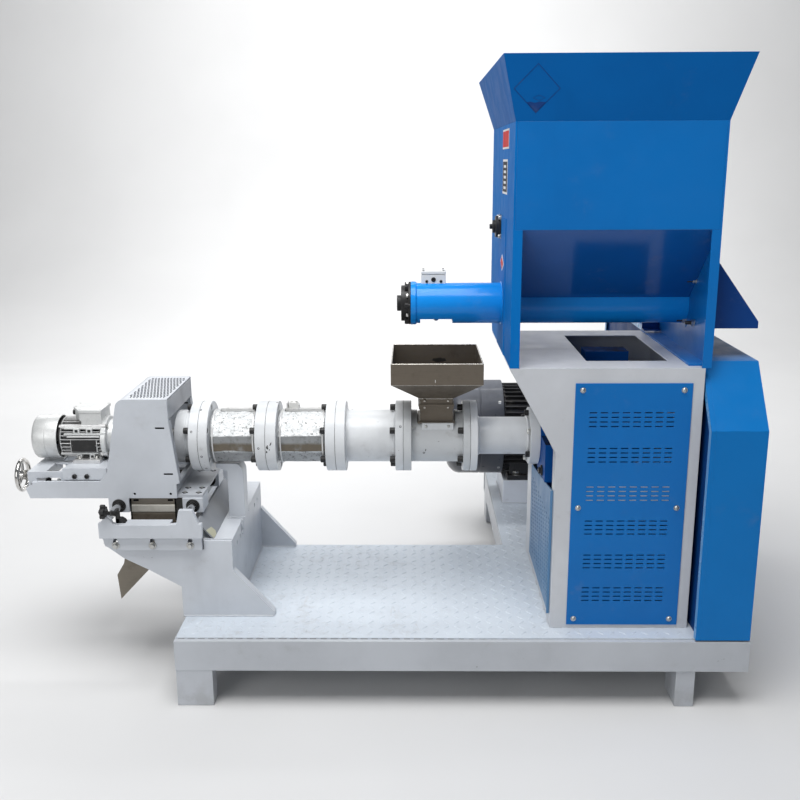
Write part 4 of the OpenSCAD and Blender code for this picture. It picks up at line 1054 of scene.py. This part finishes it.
# small set screws and plugs on the flanges, gasket lines in the joints
m = Mesh()
for x, a in ((-610, 118), (-630, 158), (-604, 200), (-395, 95), (-178, 80), (-440, 185), (-600, 232), (-37, 150), (30, 205)):
    r = 102.3 if x not in (-178, 30) else 75.8
    t = math.radians(a)
    u = (0, math.cos(t), math.sin(t))
    m.lathe((x, AXY + r * u[1], AXZ + r * u[2]), u, [(-1.5, 3.3), (0.35, 3.3), (0.35, 1.8), (-0.4, 1.8), (-0.4, 0)], 14)
for x in (-613, -421, -223, -29, 162):
    m.ring((x - 0.35, AXY, AXZ), "x", 90, 102.62, 0.7, 120)
make("barrel_plugs_and_gaskets", m, "root", M_black, angle=40)

# turned grooves and lugs that show on the castings
m = Mesh()
m.lathe((-685.6, AXY, AXZ), "x", [(0, 70), (0, 75.6), (3, 76.4), (30, 76.4), (31, 75.2), (31, 70)], 96)
for x in (184, 326):
    m.ring((x, AXY, AXZ), "x", 54, 58.5, 7, 96, 0, 2.5)
m.ring((-198, AXY, AXZ), "x", 75, 79, 5, 96, 0, 1.8)
m.ring((-56.5, AXY, AXZ), "x", 75, 79, 4, 96, 0, 1.8)
m.box((24, 279.2, 738), (114, 286, 757))
make("barrel_shoulders", m, "root", M_barrel, bevel=0.6)
m = Mesh()
for x, z in ((36, 747.5), (100, 748)):
    m.lathe((x, 279.2, z), "-y", [(0, 4.6), (0.6, 4.6), (2.6, 3.6), (3.2, 2), (3.2, 0)], 16)
m.lathe((-8, 274, 748), "-y", [(-4, 3), (4, 3), (5, 2), (5, 0)], 12)
m.tube([(-24, 276, 742), (-8, 275, 746), (6, 280, 745)], 2.2, 8)
make("inlet_block_screws", m, "root", M_zinc, angle=40)

# ---------------------------------------------------------------- inlet hopper: rim, folds, flange bands
ic = BX("inlet_chute")
m = Mesh()
x0, y0, x1, y1 = ic[0], ic[1], ic[3], ic[4]
for a, b in (((x0 + 2, y0 + 2), (x1 - 2, y0 + 2)), ((x1 - 2, y0 + 2), (x1 - 2, y1 - 2)), ((x1 - 2, y1 - 2), (x0 + 2, y1 - 2)), ((x0 + 2, y1 - 2), (x0 + 2, y0 + 2))):
    m.tube([(a[0], a[1], 943.6), (b[0], b[1], 943.6)], 2.0, 10)
m.box((x0 + 0.3, y0 + 0.1, 884.6), (x1 - 0.3, y0 + 3, 887.4))
m.box((x0 + 0.3, y1 - 3, 884.6), (x1 - 0.3, y1 - 0.1, 887.4))
make("inlet_hopper_rim", m, "root", M_inoxb, bevel=0.3)
m = Mesh()
vs = []
for off in (-0.2, 0.35):
    for k in range(18):
        t = 2 * math.pi * k / 18
        rr = 1 + 0.45 * noise.noise(Vector((k * 0.9, 4, 1)))
        vs.append((78 + 21 * rr * math.cos(t), y1 - 3.0 - off, 897 + 6.5 * rr * math.sin(t)))
m.add(vs, [list(range(18))[::-1], list(range(18, 36))] + [[k, (k + 1) % 18, 18 + (k + 1) % 18, 18 + k] for k in range(18)], 0)
for k in range(7):
    t = 2.4 * k
    m.lathe((78 + (7 + 3.5 * k) * math.cos(t), 207 + 1.2 * math.sin(t), 945.2), "z", [(0, 2.6 - 0.2 * k), (0.5, 1.8 - 0.15 * k)], 9, 0)
m.box((59.4, y0 - 0.1, 893), (60.8, y0 + 0.4, 901), 1)
make("inlet_hopper_stain", m, "root", [M_black, M_lwhite])
m = Mesh()
m.box((15, 289, 831.6), (115, 411, 835.4))
m.box((16, 290, 806), (114, 410, 812.4))
m.box((15.5, 289.5, 796), (114.5, 291.5, 806))
for x in (32, 98):
    m.lathe((x, 289.4, 820), "-y", [(-3, 3.6), (1.2, 3.6), (2.4, 2.4), (2.4, 0)], 14, 1)
    m.lathe((x, 289.4, 801), "-y", [(0, 3.6), (1.2, 3.6), (2.4, 2.4), (2.4, 0)], 14, 1)
m.weld([(17.5, 291.5, 826.5), (112.5, 291.5, 826.5)], 1.5, 1.8, 1)
m.weld([(18.5, 291, 762), (18.5, 291, 826)], 1.2, 1.8, 1)
make("inlet_hopper_bands", m, "root", [M_inox, M_inoxb], bevel=0.4)

# ---------------------------------------------------------------- welds
m = Mesh()
z = 229.4
for y in (138.6, 168.8, 638.6, 665):
    m.weld([(-655, y, z) if y in (138.6, 638.6) else (-440, y, z), (-397, y, z)], 2.8)
m.weld([(-518.6, 152, z), (-518.6, 638, z)], 2.8)
m.weld([(-505.6, 152, z), (-505.6, 638, z)], 2.8)
m.weld([(-655, 151.4, 447.2), (-655, 638.6, 447.2)], 2.2)
m.weld([(-548, 320.6, 457.2), (-499, 320.6, 457.2)], 2.4)
m.weld([(-548, 379.4, 457.2), (-499, 379.4, 457.2)], 2.4)
m.weld([(-598, 151, 457), (-508, 151, 457)], 2.2)
for x in (-650, -550):
    m.weld([(x, 7, 134.2), (x, 50, 134.2)], 2.2)
m.weld([(-648, 2.6, 134.4), (-552, 2.6, 134.4)], 1.3)
m.weld([(714, 4.4, 134.4), (762, 4.4, 134.4)], 1.5)
m.weld([(-505.5, 291, 417), (-505, 300, 430), (-505.5, 293, 441), (-505, 299, 452), (-505.5, 296, 460)], 4.2, 2.6)
m.weld([(-504.5, 300, 416), (-504.5, 304, 436), (-505.5, 303, 458)], 2.6, 2.4)
for x in (336, 560):
    m.weld([(x + 2, 1060.8, z), (x + 105, 1060.8, z)], 2.6)
    m.weld([(x + 2, 1319.2, z), (x + 105, 1319.2, z)], 2.6)
    m.weld([(x - 1.2, 1064, z), (x - 1.2, 1316, z)], 2.6)
    m.weld([(x + 108.2, 1064, z), (x + 108.2, 1316, z)], 2.6)
for x in frange(396, 732, 6):
    m.weld([(x - 12, 72.4, z), (x + 12, 72.4, z)], 1.7)
for y in frange(110, 610, 6):
    m.weld([(374.2, y - 14, z), (374.2, y + 14, z)], 1.9)
make("weld_beads", m, "root", M_weldb, angle=80)

m = Mesh()
ft = BX("feeder_tube")
for x in (248.0, 7.6):
    pts = []
    for k in range(150):
        a = 2 * math.pi * k / 150
        r = 57.6 + 0.25 * noise.noise(Vector((math.cos(a) * 3, math.sin(a) * 3, x)))
        pts.append((x - 0.6, AXY + r * math.cos(a), 1091 + r * math.sin(a)))
    m.tube(pts, [2.3 + 0.3 * (k % 2) for k in range(150)], 6, 0, True)
m.weld([(250.6, 76, 1312), (250.6, 76, 1570)], 1.6)
m.weld([(254.8, 297, 1114.4), (761, 297, 1114.4)], 1.6)
make("hopper_welds", m, "root", M_tube, angle=80)

# ---------------------------------------------------------------- bolts on the frame and slide
m = Mesh()
for x in (-828, -725, -620):
    for y, d in ((126, "-y"), (664, "y")):
        m.lathe((x, y, 448.5), d, [(0, 10.6), (1.8, 10.6), (2.4, 9.9)], 28)
        hexbolt(m, (x, y + (-2.2 if d == "-y" else 2.2), 448.5), d, 13, 8, 10, 0, False, 0.2)
        m.lathe((x, y + (12 if d == "-y" else -12), 448.5), d, [(0, 5), (12.4, 5)], 16)
for y in (215, 265, 525, 575):
    hexbolt(m, (-517, y, 420), "-x", 16, 7, 11)
make("slide_frame_bolts", m, "root", M_zinc, angle=40)

m = Mesh()
bb = BX("carriage_base")
for x in (-652, -612):
    for y in (229, 271, 429, 471):
        # dark square under each screw head: painted shadow
        m.lathe((x, y, bb[5]), "z", [(0, 9.6), (0.5, 9.6)], 4, 1, 0.0)
        m.lathe((x, y, bb[5] + 0.4), "z", [(0, 4.6), (2.4, 4.4), (3.0, 3.6), (3.0, 1.8), (1.6, 0)], 20, 0)
for x in (-1036,):
    for y, d in ((224, "-y"), (476, "y")):
        # dark disc under each socket head: painted shadow
        m.lathe((x, y, 607), d, [(0, 7.6), (1.4, 7.6)], 22, 1)
        socket(m, (x, y + (-1.4 if d == "-y" else 1.4), 607), d, 7, 8, 1)
        # the sled's flange passes 5 mm outside the tray's side
        hexbolt(m, (-1007, y, 607), d, 10, 3.4, 7, 0, False)
make("carriage_screws", m, "cutter_carriage", [M_zinc, M_void], angle=40)

m = Mesh()
sl = BX("motor_sled")
for x in (-958, -923):
    for y, d in ((sl[1], "-y"), (sl[4], "y")):
        socket(m, (x, y, 621), d, 6.6, 6.5)
make("sled_screws", m, "sled", M_black, angle=40)

# black seals of the linear bearings, round the rods
m = Mesh()
for x in (-835, -625):
    for y, d in ((202.9, "-y"), (273.1, "y"), (426.9, "-y"), (497.1, "y")):
        m.ring((x, y, 537), d, 11.6, 19.5, 2.0, 48, 0, 0.7)
make("bearing_seals", m, "cutter_carriage", M_rubber, angle=40)

# shaded backs of the slots and small holes in the hood's side plates
m = Mesh()
for y0, y1 in ((205.4, 207.4), (492.6, 494.6)):
    m.box((-718.4, y0, 761.6), (-691.6, y1, 767.4))
    m.box((-702.4, y0, 627.6), (-675.6, y1, 633.4))
    for x in (-788, -686):
        m.lathe((x, y0, 572), "y", [(0, 3.8), (y1 - y0, 3.8)], 16)
make("hood_slot_backs", m, "cutter_carriage", M_void)

# painted shade: a dark box at the bottom of the ledge's slot, and dark lines round the slide frame's plates standing
# for the shadows along their joints
m = Mesh()
m.box((-550.6, 312.2, 449), (-515.4, 315.8, 453))
for y0, y1, ys in ((125.5, 126.1, -1), (663.9, 664.5, 1)):
    m.box((-862, y0, 471.8), (-590, y1, 474))
for y0, y1 in ((139.4, 140.1), (649.9, 650.6)):
    edge = [(-866, 450), (-859, 443.6), (-822.5, 431.4), (-585.6, 431.4), (-585.6, 474), (-588, 474), (-588, 434), (-822, 434), (-858, 446), (-864, 451)]
    m.prism(edge, y0, y1, "y")
make("joint_lines", m, "root", M_joint_shadow)

# spout: two slots with dark backs and black edging round the mouth, both painted shade; a bright folded band, a painted
# sheen
m = Mesh()
for x in (-789, -691):
    m.box((x - 7.5, 213.2, 547), (x + 7.5, 214.4, 552.5), 1)
m.prism([(214.2, 536.5), (212.4, 534.5), (210.6, 516.5), (214.2, 514.5)], -802.5, -679, "x", 2)
m.prism([(214.2, 510), (213.2, 509), (213.2, 476), (214.2, 476)], -802.5, -679, "x", 3)
for x0, x1 in ((-806, -802.6), (-678.9, -675.5)):
    m.box((x0, 211.5, 490), (x1, 216, 558.5), 1)
m.box((-806, 211.5, 555.4), (-675.5, 216, 558.5), 1)
m.tube([(-806.2, 216, 499), (-806.2, 484, 499)], 1.6, 8, 0)
make("spout_lips", m, "cutter_carriage", [M_chute, M_void, M_spout_sheen, M_inox], bevel=0.3)

# ---------------------------------------------------------------- slide lock with its knob
m = Mesh()
o = (-857, 104, 556)
prof = [(0, 8), (1.5, 12), (4, 13)]
m.lathe(o, "x", prof + [(13, 13), (17, 9.5), (21, 8)], 10, 0)
for k in range(5):
    a = 2 * math.pi * k / 5 + 0.3
    m.lathe((-855, 104 + 14.5 * math.cos(a), 556 + 14.5 * math.sin(a)), "x", [(0, 4), (1.5, 6), (12.5, 6), (14, 4)], 16, 0)
m.lathe((-838, 104, 552), "x", [(0, 5), (28, 5)], 16, 1)
for k in range(13):
    m.lathe((-835 + 2 * k, 104, 552), "x", [(0, 5), (1, 5.7), (2, 5)], 16, 1)
m.prism([(-823, 512), (-812, 512), (-812, 543), (-815, 547), (-820, 547), (-823, 543)], 126.4, 136, "y", 1)
m.lathe((-822.5, 104, 552), "-x", [(0, 8), (5, 8)], 6, 1)
m.prism([(-822, 545), (-814, 545), (-814, 556), (-822, 556)], 100, 134, "y", 1)
m.prism([(-823, 514.2), (-796, 514.2), (-799, 521), (-808, 527), (-823, 527)], 126.4, 146, "y", 1)
make("slide_lock", m, "root", [M_rubber, M_black], bevel=0.7)

# ---------------------------------------------------------------- door screws, hopper bolts, labels
m = Mesh()
for x in (439, 701):
    for z in (903, 580, 257):
        m.lathe((x, d0[1] + 0.2, z), "-y", [(0, 7.6), (0.9, 7.6)], 24)
        dome(m, (x, d0[1] - 0.6, z), "-y", 6.4, 4.2)
        m.lathe((x, d0[1] + 0.2, z), "y", [(0, 3.6), (7, 3.6)], 12)
make("door_screws", m, "root", M_zinc, angle=50)

hr = BX("hopper_right_plate")
m = Mesh()
for y, z in ((245, 1165), (319, 1046), (234, 1052), (460, 1167)):
    m.lathe((hr[3] - 5, y, z), "-x", [(0, 9.5), (1.8, 9.5)], 24, 0)
    m.lathe((hr[3] - 6.8, y, z), "-x", [(0, 8.6), (7, 8.6), (7.6, 7.4)], 6, 0, 0.4)
    m.lathe((hr[3] - 14, y, z), "-x", [(0, 4.8), (15, 4.8), (16, 4)], 16, 1)
    for k in range(7):
        m.lathe((hr[3] - 14 - 2 * k, y, z), "-x", [(0, 4.8), (1, 5.3), (2, 4.8)], 16, 1)
# cover bracket and fold seams of the drive cover
m.box((709, 596, 971), (762, 600, 1000), 2)
m.box((709, 570, 971), (762, 600, 975), 2)
make("hopper_bolts", m, "root", [M_zinc, M_black, M_navy], bevel=0.4, angle=40)

hb = BX("hopper_bearing")
m = Mesh()
bc = (hb[1] + hb[4]) / 2, (hb[2] + hb[5]) / 2
for k in range(4):
    a = math.radians(45 + 90 * k)
    hexbolt(m, (249 - 16.0 + 14, bc[0] + 36 * math.cos(a), bc[1] + 36 * math.sin(a)), "-x", 10, 6, 7.5, 1)
m.lathe((247.2, bc[0], bc[1]), "-x", [(0, 33), (3, 33), (5, 30.5), (9, 30.5)], 48, 0)
make("hopper_bearing_flange", m, "root", [M_rubber, M_zinc], angle=35)

hl = BX("hopper_left_plate")
lx = 249
m = Mesh()
m.box((lx - 0.5, 225, 1511), (lx + 0.1, 395, 1562), 1)
m.box((lx - 0.9, 231, 1516), (lx - 0.4, 389, 1557), 0)
m.box((lx - 0.5, 250, 1393), (lx + 0.1, 380, 1484), 1)
m.box((lx - 0.9, 257, 1399), (lx - 0.4, 373, 1478), 2)
for k in range(5):
    m.box((lx - 1.2, 285, 1406 + 14 * k), (lx - 0.85, 345, 1413 + 14 * k), 1)
c = (330, 1206)
q = lambda r: [(c[0] - r * 2.1, c[1]), (c[0], c[1] - r), (c[0] + r * 2.1, c[1]), (c[0], c[1] + r)]
m.prism(q(23), hl[0] - 0.5, hl[0] + 0.1, "x", 1)
m.prism(q(18), hl[0] - 0.9, hl[0] - 0.4, "x", 0)
# diamond outline on the flare's front, its lowest corner filled
fy = lambda z: 73 - 40 * (z - 1573) / 152
cz, ctr, hd = 1647, 296, 56


def on_flare(u, v, off):
    z = cz + v
    return (ctr + u, fy(z) - off, z)


def patch(poly, mi):
    n = len(poly)
    m.add([on_flare(u, v, -0.3) for u, v in poly] + [on_flare(u, v, 0.45) for u, v in poly],
          [list(range(n)), list(range(n, 2 * n))[::-1]] + [[i, (i + 1) % n, n + (i + 1) % n, n + i] for i in range(n)], mi)


for r, w_, cu, cv, fl in ((hd, 1.6, 0, 0, 1), (15, 1.4, 6, -21, 0.45)):
    co_ = [(r, 0), (0, r * fl), (-r, 0), (0, -r * fl)]
    for i in range(4):
        (a0, b0), (a1, b1) = co_[i], co_[(i + 1) % 4]
        k = 1 - w_ / r * 1.4
        patch([(cu + a0, cv + b0), (cu + a1, cv + b1), (cu + a1 * k, cv + b1 * k), (cu + a0 * k, cv + b0 * k)], 3)
patch([(-24, -31), (-14, -29.5), (-4, -32.5), (8, -29.5), (24, -31), (0, -55.5)], 3)
make("blank_labels", m, "root", [M_red, M_lwhite, M_lblack, M_navy])

# ---------------------------------------------------------------- feeder flight and end cap bolts
m = Mesh()
x0f, x1f, pitch = ft[0] + 8, ft[3] - 8, 88.0
N = int((x1f - x0f) / pitch * 26)
pts, fs = [], []
for i in range(N + 1):
    pts += [(i, 15.5), (i, 50.6)]
fs = [[2 * i, 2 * i + 1, 2 * i + 3, 2 * i + 2] for i in range(N)]


def flight(off):
    def f(i, r):
        t = i / N
        a = 2 * math.pi * (x1f - x0f) / pitch * t
        return (x0f + (x1f - x0f) * t + off, AXY + r * math.cos(a), 1091 + r * math.sin(a))
    return f


m.shell(pts, fs, flight(-1.8), flight(1.8))
make("feeder_flight", m, "root", M_screw, angle=40)

m = Mesh()
for k in range(6):
    a = math.radians(30 + 60 * k)
    hexbolt(m, (-14, AXY + 54 * math.cos(a), 1091 + 54 * math.sin(a)), "-x", 10, 6, 0, 0, False)
m.lathe((-45.8, AXY, 1091), "-x", [(0, 9), (0.15, 9), (0.15, 4), (-3, 0)], 24)
make("end_cap_bolts", m, "root", M_zinc, angle=40)

# stitch welds along the deck's front edge, fading out to the right
m = Mesh()
x = -641.0
while x < 300:
    f = 1 - max(0.0, (x - 20) / 300)
    L = (15 + 7 * random.random()) * (0.55 + 0.45 * f)
    m.box((x, 14.2 - 1.8 * f, 223.9), (x + L, 14.6, 224.5 + 1.6 * f))
    x += L + 8 + 5 * random.random() + 10 * (1 - f)
make("deck_edge_seam", m, "root", M_seam)

# plug on the gearbox's left face
m = Mesh()
m.lathe((363, 230, 633), "-x", [(0, 15), (4, 15), (5, 13.5)], 28)
m.lathe((358.5, 230, 633), "-x", [(0, 10), (6, 10), (7, 8.5)], 6)
make("gearbox_plug", m, "root", M_black, bevel=0.4)

# bare patch where the splash plate's paint is missing
m = Mesh()
sp = lambda t, off: (-603 + 44 * t + 0.751 * off, 506 - 50 * t + 0.661 * off)
pp = [(0.50, 157), (0.98, 157), (0.98, 190), (0.86, 203), (0.62, 199)]
m.add([(sp(t, o_)[0], y, sp(t, o_)[1]) for o_ in (-0.2, 0.4) for t, y in pp],
      [[4, 3, 2, 1, 0], [5, 6, 7, 8, 9]] + [[i, (i + 1) % 5, 5 + (i + 1) % 5, 5 + i] for i in range(5)])
make("splash_plate_patch", m, "root", M_patch)

# knocks in the paint of the second flange pair
m = Mesh()
for x, z, a_, b_, tl in ((-415, 694, 2.6, 5.2, 0.3), (-405, 705, 1.6, 5.6, -0.4), (-417, 681, 2.0, 3.4, 0.2), (-409, 688, 1.4, 2.0, 0.0), (-414, 700, 1.2, 2.6, 0.5)):
    R = 102.55
    th = math.asin((z - AXZ) / R)
    vs = []
    for off in (-0.4, 0.25):
        for k in range(9):
            t = 2 * math.pi * k / 9
            rr = 1 + 0.3 * noise.noise(Vector((x + k, z, 3)))
            du, dv = a_ * rr * math.cos(t), b_ * rr * math.sin(t)
            du, dv = du * math.cos(tl) - dv * math.sin(tl), du * math.sin(tl) + dv * math.cos(tl)
            h = th + dv / R
            vs.append((x + du, AXY - (R + off) * math.cos(h), AXZ + (R + off) * math.sin(h)))
    m.add(vs, [list(range(9))[::-1], list(range(9, 18))] + [[k, (k + 1) % 9, 9 + (k + 1) % 9, 9 + k] for k in range(9)])
make("flange_paint_chips", m, "root", M_black)

# ---------------------------------------------------------------- floor, light, camera
floor = Mesh()
W, n = 16000, 24
prof = [(-9000, 0), (4500, 0)] + [(4500 + 3000 * math.sin(a), 3000 - 3000 * math.cos(a)) for a in frange(0.06, math.pi / 2, n)] + [(7500, 9000)]
fm = bpy.data.meshes.new("floor")
vs, fs = [], []
for x in (-W, W):
    vs += [(x / 1000, y / 1000 - 0.74, z / 1000 - 0.0004) for y, z in prof]
k = len(prof)
fs = [[i, i + 1, k + i + 1, k + i] for i in range(k - 1)]
fm.from_pydata(vs, [], fs)
for p in fm.polygons:
    p.use_smooth = True
fg = G("floor_paper", 40.0)
fg.set(col=fg.mix(fg.rng(fg.noise(0.7, 4), 0.3, 0.7), (0.68, 0.68, 0.68), (0.65, 0.65, 0.65)), rough=fg.rng(fg.noise(3, 3), 0.3, 0.7, 0.75, 0.9))
fm.materials.append(fg.m)
fo = bpy.data.objects.new("floor", fm)
bpy.context.scene.collection.objects.link(fo)

w = bpy.data.worlds.new("studio")
bpy.context.scene.world = w
w.use_nodes = True
wt = w.node_tree
bg = wt.nodes.get("Background") or wt.nodes.new("ShaderNodeBackground")
bg.inputs["Color"].default_value = (0.93, 0.96, 1.0, 1)
bg.inputs["Strength"].default_value = 0.215


def area(name, loc, target, size, power, col=(1, 1, 1), sy=None):
    l = bpy.data.lights.new(name, "AREA")
    l.energy, l.color = power, col
    l.shape = "RECTANGLE"
    l.size, l.size_y = size, sy or size
    o = bpy.data.objects.new(name, l)
    o.location = loc
    o.rotation_euler = (Vector(target) - Vector(loc)).to_track_quat("-Z", "Y").to_euler()
    bpy.context.scene.collection.objects.link(o)


area("top_softbox", (-0.2, -1.5, 4.6), (-0.1, 0, 0.5), 3.0, 200)
area("front_softbox", (-2.3, -4.6, 2.2), (0, 0, 0.8), 2.6, 58)
area("back_softbox", (-2.6, 3.6, 3.4), (0, 0.3, 0.7), 2.4, 40)
area("backdrop_softbox", (0, 2.6, 4.6), (0, 6.6, 0.6), 3.6, 270, sy=1.2)

cam = bpy.data.cameras.new("camera")
cam.lens, cam.sensor_width = 950.03 / 800 * 36, 36
co = bpy.data.objects.new("camera", cam)
bpy.context.scene.collection.objects.link(co)
pi_, ro, ya = 0.245255238, -0.0050194236, -0.0145262928
c, s, c2, s2, c3, s3 = math.cos(ya), math.sin(ya), math.cos(pi_), math.sin(pi_), math.cos(ro), math.sin(ro)
F = Vector((c2 * s, c2 * c, -s2))
R0, U0 = Vector((c, -s, 0)), Vector((s2 * s, s2 * c, c2))
R, U = R0 * c3 + U0 * s3, U0 * c3 - R0 * s3
from mathutils import Matrix
M = Matrix((R, U, -F)).transposed().to_4x4()
M.translation = (0.133, -3.067, 1.478 + OZ / 1000)
co.matrix_world = M
bpy.context.scene.camera = co
